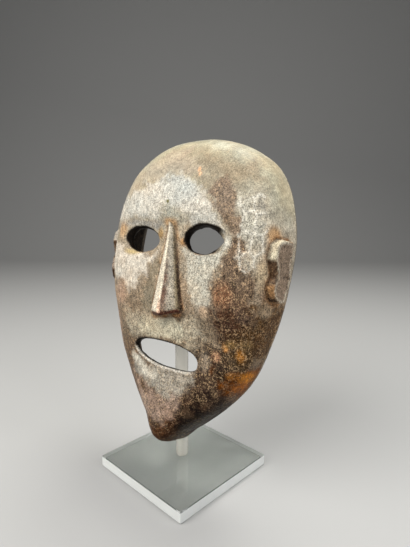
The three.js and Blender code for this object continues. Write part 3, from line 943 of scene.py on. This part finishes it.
# %% Paint the ears
# Heights are counted from the notch in the ear's front edge.
EAR_GRAIN = 1.3
FOOT_REACH, FOOT_FROM = 3.5, -0.6
FLAT_EDGE, FLAT_SKIN = (-0.4, -1.6), (0.5, 1.5)
WALL_CLOSE, WALL_FRONT = (0.5, 1.4), -24.0
CREAM_FROM, RUST_TO, LOBE_TO, EAR_BOTTOM = (11.0, 14.0), (-4.0, -7.0), (-17.0, -14.0), -24.0
LIP_IN, LIP_CLOSE, LIP_SKIN = 1.7, (0.4, 1.3), (1.0, 2.0)
LINE_UP, LINE_SLOPE, LINE_FROM, LINE_HALF = 2.0, 0.25, -17.0, 0.9
LINE_START, LINE_END = (-24.0, -20.0), -13.0
# Where the painted shadow round the ear's foot lies:
FOOT_SHADOW_OUT, FOOT_SHADOW_CLOSE, FOOT_SHADOW_SKIN, FOOT_SHADOW_FRONT = 0.8, (0.5, 1.6), (1.0, 2.5), -26.0


def paint_ear(colour, points, ear):
    """Rusty foot, flat, the wall round it: cream above, black in the notch, rust and black below; painted
    foot shadow.
    """
    x, y, z = points.T
    on_side = x * ear["side"] > EAR_CLOSE
    outline = outline_distance(y, z, ear["outline"])
    to_skin = ear_field(x, y, z, ear)
    above_notch = z - ear["outline"][5][1]
    foot = on_side * np.exp(-((np.maximum(outline, 0.0) / FOOT_REACH) ** 2)) * (outline > FOOT_FROM)
    lay(colour, DIRT, foot * broken("ear's foot"))
    flat = on_side * smoothstep(*FLAT_EDGE, outline) * close_to(to_skin, *FLAT_SKIN)
    lay(colour, EAR_FACE, flat)
    wall = on_side * close_to(outline + 0.1, *WALL_CLOSE) * (y < WALL_FRONT)
    cream = smoothstep(*CREAM_FROM, above_notch)
    rust = smoothstep(*RUST_TO, above_notch)
    lobe = smoothstep(*LOBE_TO, above_notch)
    lay(colour, ear["upper_wall"], wall * cream * broken("ear's upper wall"))
    lay(colour, EAR_NOTCH, wall * (1 - cream) * (1 - rust) * broken("ear's notch"))
    lay(colour, ear["lower_wall"], wall * rust * lobe)
    lay(colour, EAR_NOTCH, wall * (1 - lobe) * (above_notch > EAR_BOTTOM))
    lip = on_side * close_to(outline + LIP_IN, *LIP_CLOSE) * close_to(to_skin, *LIP_SKIN)
    lay(colour, WORN_EDGE, lip * broken("ear's lip"))
    line = (above_notch - LINE_UP + LINE_SLOPE * (y - LINE_FROM)) / LINE_HALF
    line = np.exp(-(line**2)) * smoothstep(*LINE_START, y) * (y < LINE_END)
    lay(colour, EAR_NOTCH, on_side * line * flat * 0.9)
    # A thin painted shadow where the ear meets the bowl:
    foot_shadow = on_side * close_to(outline - FOOT_SHADOW_OUT, *FOOT_SHADOW_CLOSE) * close_to(bowl_field(x, y, z), *FOOT_SHADOW_SKIN)
    lay(colour, EAR_NOTCH, foot_shadow * (y < FOOT_SHADOW_FRONT) * broken("ear's foot shadow"))
    return flat


# %% Small spots of the patina
# name, centre, radii, colour
SPOTS = (
    ("shade under the nose", (15, -49, -38.5), (12, 8, 4.5), (0.050, 0.036, 0.023)),
    ("shade under the nose's corner", (15, -49, -41), (7, 8, 6), (0.040, 0.030, 0.020)),
    ("dark beside the mouth", (58, -41, -52), (11, 10, 7), (0.024, 0.011, 0.006)),
    ("plum on the cheek's side", (69, -45, -24), (8, 12, 9), (0.080, 0.048, 0.031)),
    ("plum below it", (72, -41, -32), (8, 12, 8), (0.060, 0.036, 0.024)),
    ("black under the mouth", (37, -33, -104), (8, 10, 7), (0.008, 0.003, 0.001)),
    ("black over the ochre", (56, -32, -80), (7, 9, 7), (0.018, 0.008, 0.003)),
    ("gold on the jaw's side", (73, -31, -53), (8, 10, 7), (0.115, 0.070, 0.028)),
    ("brown specks on the chin", (27, -32, -119), (9, 10, 7), (0.050, 0.028, 0.015)),
    ("beige under the left ear", (83, -27, -24), (8, 12, 9), (0.21, 0.155, 0.10)),
    ("dark cheek's middle", (60, -43, -40), (12, 10, 9), (0.035, 0.016, 0.009)),
    ("pink along the right edge", (-70, -22, -55), (16, 34, 70), (0.24, 0.145, 0.090)),
    ("red brown of the chin", (0, -25, -135), (22, 18, 22), (0.050, 0.018, 0.006)),
    ("beige before the left ear", (82, -39, 2), (6, 9, 16), (0.36, 0.28, 0.18)),
    ("light beside the brown neck", (66, -52, 16), (4, 8, 6), (0.25, 0.20, 0.15)),
    ("orange mark", (22, -59, 80), (1.8, 6, 3.6), (0.62, 0.36, 0.20)),
    ("orange mark's foot", (24, -60, 76), (1.8, 6, 2.8), (0.70, 0.42, 0.24)),
    ("dark pit", (-4, -62, 53), (2.4, 6, 2.4), (0.10, 0.09, 0.03)),
    ("outer corner of the left eye", (55, -50, 24), (7.0, 10, 7.5), CANTHUS),
    ("rust at the nose's root", (0, -58, 36), (12, 9, 7), (0.30, 0.19, 0.10)),
    ("rust in the right eye's inner corner", (-12, -55, 27), (5, 8, 8), (0.27, 0.18, 0.085)),
    ("rust in the left eye's inner corner", (14, -54, 21), (6, 8, 5), (0.32, 0.18, 0.08)),
    ("rust at the right eye's outer corner", (-62, -53, 28), (9, 9, 10), (0.38, 0.26, 0.15)),
    ("ochre under the right eye", (-46, -52, 9), (15, 9, 4), (0.42, 0.33, 0.17)),
    ("red on the nose's left flank", (6, -58, -24), (8, 8, 16), (0.190, 0.130, 0.090)),
    ("rust above the left ear", (83, -34, 34), (11, 12, 10), (0.36, 0.23, 0.12)),
    ("pink under the right cheek", (-58, -46, -28), (16, 20, 18), (0.29, 0.200, 0.140)),
    ("orange specks on the jaw", (59, -39, -57), (4, 8, 5), (0.24, 0.11, 0.03)),
    ("orange on the jaw", (69, -31, -62), (4, 12, 8), (0.24, 0.10, 0.018)),
    ("rose on the jaw", (51, -39, -66), (6, 10, 6), (0.26, 0.14, 0.08)),
    ("orange specks on the cheek", (40, -49, -32), (8, 8, 7), (0.31, 0.220, 0.145)),
    ("ochre core", (69, -16, -80), (9, 15, 9), (0.30, 0.112, 0.008)),
    ("ochre core's front", (62, -28, -79), (7, 8, 5), (0.17, 0.062, 0.009)),
    ("ochre core's foot", (64, -15, -89), (9, 12, 8), (0.22, 0.066, 0.004)),
    ("red brown of the cheek", (56, -49, -17), (13, 12, 15), (0.150, 0.072, 0.038)),
    ("gold flecks", (63, -38, -54), (7, 8, 5), (0.13, 0.080, 0.030)),
    ("light on the mouth's left corner", (41, -39, -72), (8, 9, 13), (0.17, 0.135, 0.10)),
)


# %% Lay the patches and the spots
SPECKLE_HEIGHTS, SPECKLES = (-90, 40), (1.0, 0.2)
GRAIN_HEIGHTS, GRAINS = (-60, 20, 60, 90), (1.4, 1.1, 0.8, 0.55)
WARM_CLOUDS, LIGHT_CLOUDS = (16.0, 40), (7.0, 44)
WARM_SWING, LIGHT_SWING = (0.12, 0.0, -0.10), 0.22
FACET_LINE, CHISEL_LINE, GOUGE_LINE = 0.55, 0.7, 0.8
CHISEL_LIGHT, CHISEL_SHADE = 0.30, 0.08
SMOOTH_CROWN, SMOOTH_SHARE = (55.0, 85.0), 0.8


def paint_patches(colour, points):
    """Patches and spots, then clouds of warmth and lightness, and light lines where two cuts meet."""
    z = points[:, 2]
    speckle = np.interp(z, SPECKLE_HEIGHTS, SPECKLES)
    grain = np.interp(z, GRAIN_HEIGHTS, GRAINS)
    covers = {}
    for number, (name, view, outline, tone, soft, ragged, specks, grained) in enumerate(PATCHES):
        seed = PATCH_SEED + PATCH_SEEDS * number
        cover = covers[name] = outline_cover(points, view, outline, soft, ragged, seed)
        lay(colour, tone, cover)
        speckle += (specks - speckle) * cover
        grain += (grained - grain) * cover
    spotted = broken("spots")
    for _, centre, radii, tone in SPOTS:
        lay(colour, tone, near(points, centre, radii) * spotted)
    warm, light = mottle(points, *WARM_CLOUDS) - 0.5, mottle(points, *LIGHT_CLOUDS) - 0.5
    colour *= 1.0 + warm[:, None] * np.array(WARM_SWING) + LIGHT_SWING * light[:, None]
    lay(colour, FACET_EDGE, covers["pale temple"] * np.exp(-cut_edge["facet"] / FACET_LINE) * 0.9)
    crisp = outside * (1 - SMOOTH_SHARE * smoothstep(*SMOOTH_CROWN, z))
    line = CHISEL_LIGHT * np.exp(-cut_edge["chisel"] / CHISEL_LINE) - CHISEL_SHADE
    colour *= (1.0 + crisp * line)[:, None]
    return speckle, grain


# %% Paint the openings, the edges and the hollow
CANTHUS_AT, CANTHUS_RADII = (54, -50, 22), (14.0, 16, 18.0)
CANTHUS_COVER, CANTHUS_DEEP = (0.05, 0.65), (6.0, 4.5)
RIM_FACES, RIM_SHADE_RANGE = (0.5, -0.86), (-0.1, 0.5)
OPENING_CLOSE, OPENING_DEEP = (0.8, 1.8), (-1.4, 0.0)
OPENING_STARTS, SHADE_RAISES = 1.8, 1.9
EDGE_REACH, EDGE_COVER, EDGE_FOOT = 2.0, (0.25, 0.7), (-120.0, -95.0)
LIP_OUT, LIP_NEAR, LIP_DEEP, LIP_SHADED = 0.4, (0.9, 1.9), (2.2, 1.2), (0.6, 0.1)
LIP_LOWER, LIP_UPPER, LIP_LEFT, LIP_FRONT, LIP_TOP = 0.75, 0.35, (32.0, 24.0), -30.0, -55.0
INNER_EDGE, INNER_REAR, REAR_END = (0.8, 2.0), (-9.0, -4.0), (-2.2, -0.6)
HOLLOW_COVER = (0.15, 0.6)


def paint_openings(colour, points):
    """Painted shade on the openings' walls, the rear rim and the hollow, worn edges, lips with painted
    highlight.
    """
    x, y, z = points.T
    below_face = y + face_depth(x, z)
    distances = [opening_field(x, y, z, opening) for opening in (LEFT_EYE, RIGHT_EYE, MOUTH)]
    # Walls that face down get the painted shade closer to the face:
    shaded = smoothstep(*RIM_SHADE_RANGE, RIM_FACES[0] * skin_normal[:, 0] + RIM_FACES[1] * skin_normal[:, 2])
    deep = smoothstep(*OPENING_DEEP, below_face - OPENING_STARTS + SHADE_RAISES * shaded)
    in_opening = close_to(np.min(np.abs(distances), axis=0), *OPENING_CLOSE) * deep
    canthus = smoothstep(*CANTHUS_COVER, near(points, CANTHUS_AT, CANTHUS_RADII))
    in_opening *= 1 - canthus * smoothstep(*CANTHUS_DEEP, below_face)
    edge = smoothstep(*EDGE_COVER, exposure(points, skin_normal, EDGE_REACH)) * broken("worn edges")
    edge = edge * (1 - inside_hollow) * (1 - in_opening) * smoothstep(*EDGE_FOOT, z)
    lay(colour, WORN_EDGE, edge * 0.8)
    # Painted shade on the openings' walls:
    lay(colour, OPENING_WALL_SHADE, in_opening)
    # The mouth's edge, worn pale with a painted highlight, strongest on the lower lip and where it faces up:
    lip = close_to(distances[2] - LIP_OUT, *LIP_NEAR) * smoothstep(*LIP_DEEP, below_face)
    lip *= np.where(z < MOUTH["z"], LIP_LOWER, LIP_UPPER) * smoothstep(*LIP_LEFT, x) * broken("lips")
    lay(colour, LIP_WEAR_AND_HIGHLIGHT, lip * smoothstep(*LIP_SHADED, shaded) * (y < LIP_FRONT) * (z < LIP_TOP))
    # Painted shade on the rear rim and on the hollow's edge near it:
    inner = close_to(hollow_field(x, y, z), *INNER_EDGE) * smoothstep(*INNER_REAR, y)
    lay(colour, REAR_RIM_SHADE, np.maximum(inner, smoothstep(*REAR_END, y)) * 0.9)
    # Painted shade in the hollow, with the gouge's cut edges a little lighter:
    hollow = smoothstep(*HOLLOW_COVER, inside_hollow)
    lay(colour, HOLLOW_SHADE, hollow)
    lay(colour, GOUGE_EDGE, hollow * np.exp(-cut_edge["gouge"] / GOUGE_LINE) * 0.7)
    return hollow, in_opening


# %% Paint the whole mask
CORNER_REACH, CORNER_COVER = 5.0, (0.12, 0.5)
CREASE_REACH, CREASE_COVER = 2.0, (0.55, 0.95)


def paint_mask(points):
    """Ground, patches and spots, dirt in corners, nose, ears, painted shade in creases, then openings and
    hollow.
    """
    colour = ground_tone(points)
    speckle, grain = paint_patches(colour, points)
    corner = smoothstep(*CORNER_COVER, shelter(points, skin_normal, CORNER_REACH))
    lay(colour, DIRT, corner * broken("dirt"))
    paint_nose(colour, points)
    for ear in (LEFT_EAR, RIGHT_EAR):
        grain += (EAR_GRAIN - grain) * paint_ear(colour, points, ear)
    # Painted shade in the tightest creases.
    lay(colour, CREASE_SHADE, smoothstep(*CREASE_COVER, shelter(points, skin_normal, CREASE_REACH)) * 0.8)
    hollow, in_opening = paint_openings(colour, points)
    return colour, speckle * (1 - 0.7 * hollow) * (1 - 0.9 * in_opening), grain


patina_and_painted_light, speckle, grain = paint_mask(skin_points)
print("patina from", patina_and_painted_light.min(0).round(3), "to", patina_and_painted_light.max(0).round(3))


# %% Put the mask into Blender
def mesh_from(name, points, faces):
    """A mesh object from rows of points and lists of point numbers, linked into the scene."""
    mesh = bpy.data.meshes.new(name)
    mesh.from_pydata(points.tolist(), [], faces)
    piece = bpy.data.objects.new(name, mesh)
    bpy.context.scene.collection.objects.link(piece)
    mesh.shade_smooth()
    return piece


def point_colour(piece, name, rgb):
    """Stores one colour for each point as an attribute."""
    layer = piece.data.color_attributes.new(name, "FLOAT_COLOR", "POINT")
    layer.data.foreach_set("color", np.column_stack([rgb, np.ones(len(rgb))]).ravel())


def point_value(piece, name, values):
    """Stores one number for each point as an attribute."""
    layer = piece.data.attributes.new(name, "FLOAT", "POINT")
    layer.data.foreach_set("value", np.asarray(values, np.float32))


mask = mesh_from("carved_mask", hang(carved_points), skin_quads.tolist())
point_colour(mask, "patina_and_painted_light", patina_and_painted_light)
point_value(mask, "speckle", speckle)
point_value(mask, "grain", grain)
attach(mask, "root")
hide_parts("mask")
print("mask:", len(mask.data.polygons), "faces")


# %% [markdown]
# ## Old wood
# Worn wood shows pale and dark specks, short fibres and fine curly cracks, all finer than the mesh's
# points. An image would need a flat layout of the whole carving, so they come from noise in the material
# instead, on Object coordinates. They only make the painted patina lighter and darker, and the painted
# attributes say how strong grain and specks are at each place. A little bump makes the light break up.

# %% Nodes
def add_node(tree, kind, inputs=None, **settings):
    """One node with its settings, and inputs that are numbers, colours or other nodes' outputs."""
    node = tree.nodes.new(kind)
    for key, value in settings.items():
        setattr(node, key, value)
    for key, value in (inputs or {}).items():
        if isinstance(value, bpy.types.NodeSocket):
            tree.links.new(value, node.inputs[key])
        else:
            node.inputs[key].default_value = value
    return node


def new_material(name, settings):
    """A material whose shader has the given constants on its own sockets."""
    material = bpy.data.materials.new(name)
    material.use_nodes = True
    shader = material.node_tree.nodes["Principled BSDF"]
    for key, value in settings.items():
        shader.inputs[key].default_value = value
    return material, material.node_tree, shader


def noise(tree, place, scale, detail, distortion):
    """Clouds with so many waves to the metre, from about 0.3 to 0.7."""
    inputs = {"Vector": place, "Scale": scale, "Detail": detail, "Distortion": distortion}
    return add_node(tree, "ShaderNodeTexNoise", inputs).outputs["Fac"]


def painted(tree, name, output="Fac"):
    """An attribute of the mesh."""
    return add_node(tree, "ShaderNodeAttribute", attribute_name=name).outputs[output]


def maths(tree, operation, *values):
    """One arithmetic node; a value may be a number or another node's output."""
    return add_node(tree, "ShaderNodeMath", dict(enumerate(values)), operation=operation).outputs[0]


def product(tree, first, *others):
    """All the values multiplied."""
    for other in others:
        first = maths(tree, "MULTIPLY", first, other)
    return first


def stretch(tree, value, low, high, to_low, to_high):
    """Carries low..high to to_low..to_high and holds the ends."""
    ends = {"Value": value, "From Min": low, "From Max": high, "To Min": to_low, "To Max": to_high}
    return add_node(tree, "ShaderNodeMapRange", ends).outputs["Result"]


def tint(tree, blend, amount, under, over):
    """Two colours blended; sockets 6 and 7 are the colour pair of a Mix node."""
    inputs = {"Factor": amount, 6: under, 7: over}
    settings = {"data_type": "RGBA", "blend_type": blend, "clamp_factor": True}
    return add_node(tree, "ShaderNodeMix", inputs, **settings).outputs[2]


# %% The finish of the old wood
# name: waves to the metre, detail, distortion
WOOD_NOISES = {
    "fine": (1050.0, 1.0, 0.0),
    "middle": (500.0, 2.0, 0.8),
    "curls": (210.0, 2.0, 1.5),
    "broad": (110.0, 3.0, 0.4),
    "dots": (640.0, 2.0, 1.2),
    "clusters": (150.0, 2.0, 1.0),
}
FIBRES, FIBRES_LONG = (650.0, 2.0, 0.6), (1.0, 1.0, 0.3)
RINGS = {"Scale": 150.0, "Distortion": 5.0, "Detail": 2.0, "Detail Scale": 0.25}
RINGS_AT = (0.0, -0.02, 0.0)
FINE_SHARE, MIDDLE_SHARE, FIBRE_SHARE, RING_RELIEF = 0.60, 0.32, 0.24, 0.12
DOT_LIGHT = (0.26, 0.180, 0.100, 1.0)

# use: low and high end of the noise, and what they become
GRAIN_SWING = (0.46, 0.70, -0.46, 0.46)
CURL_LINES = (0.0, 0.03, 0.26, -0.03)
BROAD_TONE = (0.3, 0.7, 0.86, 1.14)
RING_TONE = (0.0, 1.0, 0.94, 1.05)
DOT_COVER = (0.54, 0.60, 0.0, 1.0)
CLUSTER_COVER = (0.36, 0.62, 0.25, 1.0)
WOOD_ROUGHNESS = (0.3, 0.7, 0.34, 0.56)


def old_wood():
    """Patina * (1 + grain * (swing + curls)) * broad tone * ring tone, with light dots laid over it."""
    material, tree, shader = new_material("old_wood", {"Specular IOR Level": 0.08})
    place = add_node(tree, "ShaderNodeTexCoord").outputs["Object"]
    along = add_node(tree, "ShaderNodeMapping", {"Vector": place, "Scale": FIBRES_LONG}).outputs[0]
    centred = add_node(tree, "ShaderNodeMapping", {"Vector": place, "Location": RINGS_AT}).outputs[0]
    clouds = {name: noise(tree, place, *numbers) for name, numbers in WOOD_NOISES.items()}
    fibres = noise(tree, along, *FIBRES)
    rings = add_node(tree, "ShaderNodeTexWave", {"Vector": centred, **RINGS},
                     wave_type="RINGS", rings_direction="Z").outputs["Fac"]
    grain = product(tree, clouds["fine"], FINE_SHARE)
    grain = maths(tree, "ADD", grain, product(tree, clouds["middle"], MIDDLE_SHARE))
    grain = maths(tree, "ADD", grain, product(tree, fibres, FIBRE_SHARE))
    curl = maths(tree, "ABSOLUTE", maths(tree, "SUBTRACT", clouds["curls"], 0.5))
    swing = maths(tree, "ADD", stretch(tree, grain, *GRAIN_SWING), stretch(tree, curl, *CURL_LINES))
    swing = maths(tree, "ADD", product(tree, swing, painted(tree, "grain")), 1.0)
    broad = stretch(tree, clouds["broad"], *BROAD_TONE)
    tone = product(tree, swing, broad, stretch(tree, rings, *RING_TONE))
    toned = tint(tree, "MULTIPLY", 1.0, painted(tree, "patina_and_painted_light", "Color"), tone)
    dots = stretch(tree, clouds["dots"], *DOT_COVER)
    clusters = stretch(tree, clouds["clusters"], *CLUSTER_COVER)
    dot_cover = product(tree, dots, painted(tree, "speckle"), clusters)
    speckled = tint(tree, "MIX", dot_cover, toned, tint(tree, "ADD", 1.0, toned, DOT_LIGHT))
    tree.links.new(speckled, shader.inputs["Base Color"])
    tree.links.new(stretch(tree, clouds["middle"], *WOOD_ROUGHNESS), shader.inputs["Roughness"])
    relief = maths(tree, "ADD", grain, product(tree, rings, RING_RELIEF))
    bump = add_node(tree, "ShaderNodeBump", {"Height": relief, "Strength": 0.5, "Distance": 0.0006})
    tree.links.new(bump.outputs["Normal"], shader.inputs["Normal"])
    return material


mask.data.materials.append(old_wood())
print("old wood:", len(mask.data.materials[0].node_tree.nodes), "nodes")

# %% [markdown]
# ## The stand
# Rod and plate are cast acrylic, polished clear on top and below. The plate's sawn edges are polished
# less, so they glow white, and the rod is a little milky. A plain cylinder and box would have dead sharp
# edges, which acrylic never has. So both are profiles: the rod's has rounded ends and is carried round its
# axis, the plate's has bevels and is carried round a square with small rounded corners.

# %% Profiles carried round
ROD_SIDES = 96
ROD_ROUNDED = 0.0025
ROD_END_STEPS = 9
PLATE_SIDE = 0.110
PLATE_TURN = -6.3
PLATE_BEVEL = 0.0006
PLATE_CORNER = 0.0012
CORNER_STEPS = 6
SHARP_FROM = 35
rod_low, rod_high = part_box("stand_rod")
plate_low, plate_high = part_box("stand_base")
print("rod box", [round(v, 4) for v in rod_high - rod_low])
print("plate box", [round(v, 4) for v in plate_high - plate_low])


def carried_round(name, rings):
    """A closed skin from a stack of closed rings of points, with a flat face at both ends."""
    sides = len(rings[0])
    i, j = np.meshgrid(np.arange(len(rings) - 1), np.arange(sides), indexing="ij")
    k = (j + 1) % sides
    quads = np.stack([i * sides + j, i * sides + k, (i + 1) * sides + k, (i + 1) * sides + j], -1)
    faces = quads.reshape(-1, 4).tolist()
    faces.append(list(range(sides))[::-1])
    faces.append(list(range((len(rings) - 1) * sides, len(rings) * sides)))
    piece = mesh_from(name, np.concatenate(rings), faces)
    piece.data.set_sharp_from_angle(angle=math.radians(SHARP_FROM))
    return piece


# %% The rod and the plate
def turned_rod():
    """Radius r - e (1 - cos a), at e (1 - sin a) from each end, carried round the axis."""
    radius = (rod_high[0] - rod_low[0]) / 2
    centre = np.array([(rod_low[0] + rod_high[0]) / 2, (rod_low[1] + rod_high[1]) / 2])
    arc = np.linspace(0, np.pi / 2, ROD_END_STEPS)
    inset = ROD_ROUNDED * (1 - np.cos(arc))
    lift = ROD_ROUNDED * (1 - np.sin(arc))
    profile = np.concatenate([
        np.stack([radius - inset[::-1], rod_low[2] + lift[::-1]], 1),
        np.stack([radius - inset, rod_high[2] - lift], 1),
    ])
    angle = np.linspace(0, 2 * np.pi, ROD_SIDES, endpoint=False)
    circle = np.stack([np.cos(angle), np.sin(angle)], 1)
    rings = [np.column_stack([centre + r * circle, np.full(ROD_SIDES, height)]) for r, height in profile]
    return carried_round("clear_rod", rings)


def square_ring(inset, height):
    """A square with quarter-round corners, drawn in by inset and turned as the plate lies."""
    arc = np.linspace(0, np.pi / 2, CORNER_STEPS)
    half = PLATE_SIDE / 2 - PLATE_CORNER
    points = []
    for quarter in range(4):
        a = arc + quarter * np.pi / 2
        diagonal = quarter * math.pi / 2 + math.pi / 4
        corner = half * np.array([math.sqrt(2) * math.cos(diagonal), math.sqrt(2) * math.sin(diagonal)])
        points.append(corner + (PLATE_CORNER - inset) * np.stack([np.cos(a), np.sin(a)], 1))
    turn = math.radians(PLATE_TURN)
    spin = np.array([[math.cos(turn), -math.sin(turn)], [math.sin(turn), math.cos(turn)]])
    centre = (np.array(plate_low[:2]) + np.array(plate_high[:2])) / 2
    ring = np.concatenate(points) @ spin.T + centre
    return np.column_stack([ring, np.full(len(ring), height)])


def sawn_plate():
    """Four square rings: drawn in by the bevel at the bottom and the top, full size between."""
    low, high = plate_low[2], plate_high[2]
    steps = ((PLATE_BEVEL, low), (0.0, low + PLATE_BEVEL), (0.0, high - PLATE_BEVEL), (PLATE_BEVEL, high))
    return carried_round("clear_plate", [square_ring(inset, height) for inset, height in steps])


# %% Clear acrylic
ACRYLIC_IOR = 1.49
EDGE_FACE = 0.5

# name: colour, share of light let through, roughness
ACRYLICS = {
    "acrylic_rod": ((1.0, 0.97, 0.89, 1.0), 0.70, 0.02),
    "acrylic_plate": ((0.92, 0.95, 0.92, 1.0), 0.95, 0.02),
    "acrylic_edge": ((0.92, 0.94, 0.92, 1.0), 0.35, 0.25),
}


def clear_acrylic(name):
    """A clear body for a whole share of 1, milky for less, with one colour and one roughness."""
    colour, clearness, roughness = ACRYLICS[name]
    settings = {"Base Color": colour, "Transmission Weight": clearness, "Roughness": roughness,
                "IOR": ACRYLIC_IOR}
    return new_material(name, settings)[0]


rod = turned_rod()
rod.data.materials.append(clear_acrylic("acrylic_rod"))
plate = sawn_plate()
plate.data.materials.append(clear_acrylic("acrylic_plate"))
plate.data.materials.append(clear_acrylic("acrylic_edge"))
upright = np.array([abs(face.normal.z) < EDGE_FACE for face in plate.data.polygons])
plate.data.polygons.foreach_set("material_index", upright.astype(np.int32))
for piece, node in ((rod, "stand_rod"), (plate, "stand_base")):
    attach(piece, "root")
    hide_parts(node)
print("stand:", len(rod.data.polygons), "and", len(plate.data.polygons), "faces")

# %% [markdown]
# ## Room and light
# A pale floor that curves up into a pale wall. One large soft light hangs above the mask, a little before
# it and to its right, so the forehead and the bridge of the nose catch it and the chin turns into shade.
# A smaller one above and behind it brightens the crown's edge, and a dim one on the other side fills the
# ear and the jaw. The floor lies a third of a millimetre under the plate, so that light can pass between
# them as it does under a real sheet of acrylic.

# %% Room
FLOOR_GAP = 0.0003
WALL_BEND, WALL_AT, WALL_HIGH, ROOM_HALF = 0.8, 1.4, 3.0, 4.0
FLOOR_BEFORE = 2.5
BEND_STEPS = 24
PALE_WALL = {"Base Color": (0.34, 0.34, 0.335, 1.0), "Roughness": 0.8}


def make_room():
    """A floor profile carried sideways: flat, then a quarter circle, then a wall."""
    arc = np.linspace(0, np.pi / 2, BEND_STEPS)
    out = np.concatenate([[-FLOOR_BEFORE], WALL_AT + WALL_BEND * np.sin(arc), [WALL_AT + WALL_BEND]])
    up = np.concatenate([[0.0], WALL_BEND * (1 - np.cos(arc)), [WALL_HIGH]]) - FLOOR_GAP
    o, s = np.meshgrid(out, np.array([-ROOM_HALF, ROOM_HALF]), indexing="ij")
    u = np.repeat(up, 2).reshape(o.shape)
    away = math.radians(CAMERA_AZIMUTH)
    sideways = -o * math.sin(away) + s * math.cos(away)
    backwards = o * math.cos(away) + s * math.sin(away)
    i = np.arange(len(out) - 1) * 2
    faces = np.stack([i, i + 1, i + 3, i + 2], 1)
    room = mesh_from("room", np.stack([sideways, backwards, u], -1).reshape(-1, 3), faces.tolist())
    room.data.materials.append(new_material("pale_wall", PALE_WALL)[0])
    return room


room = make_room()
print("room:", len(room.data.polygons), "faces")


# %% Lights
# name, place, aim, side, power, colour
LIGHTS = (
    ("front_above", (-0.22, -0.85, 1.0), (0, 0, 0.18), 1.0, 24, (1.0, 0.98, 0.95)),
    ("crown", (0.0, 0.42, 1.2), (0, 0, 0.25), 0.6, 12, (1.0, 0.99, 0.94)),
    ("left_fill", (1.0, 0.1, 0.75), (0, 0, 0.18), 0.7, 9, (0.98, 0.98, 1.0)),
)
WORLD_GREY, WORLD_STRENGTH = (0.5, 0.5, 0.5, 1.0), 0.3


def area_light(name, at, aim, side, power, colour):
    """A square lamp that shines along its own -Z, turned from its place towards its aim."""
    data = bpy.data.lights.new(name, "AREA")
    data.shape = "RECTANGLE"
    data.size = side
    data.size_y = side
    data.energy = power
    data.color = colour
    light = bpy.data.objects.new(name, data)
    direction = Vector(aim) - Vector(at)
    light.matrix_world = Matrix.Translation(at) @ direction.to_track_quat("-Z", "Y").to_matrix().to_4x4()
    bpy.context.scene.collection.objects.link(light)


for light in LIGHTS:
    area_light(*light)
world = bpy.data.worlds.new("world")
world.use_nodes = True
background = world.node_tree.nodes["Background"]
background.inputs["Color"].default_value = WORLD_GREY
background.inputs["Strength"].default_value = WORLD_STRENGTH
bpy.context.scene.world = world
bpy.context.scene.view_settings.view_transform = "Standard"
print("lights:", len(LIGHTS))
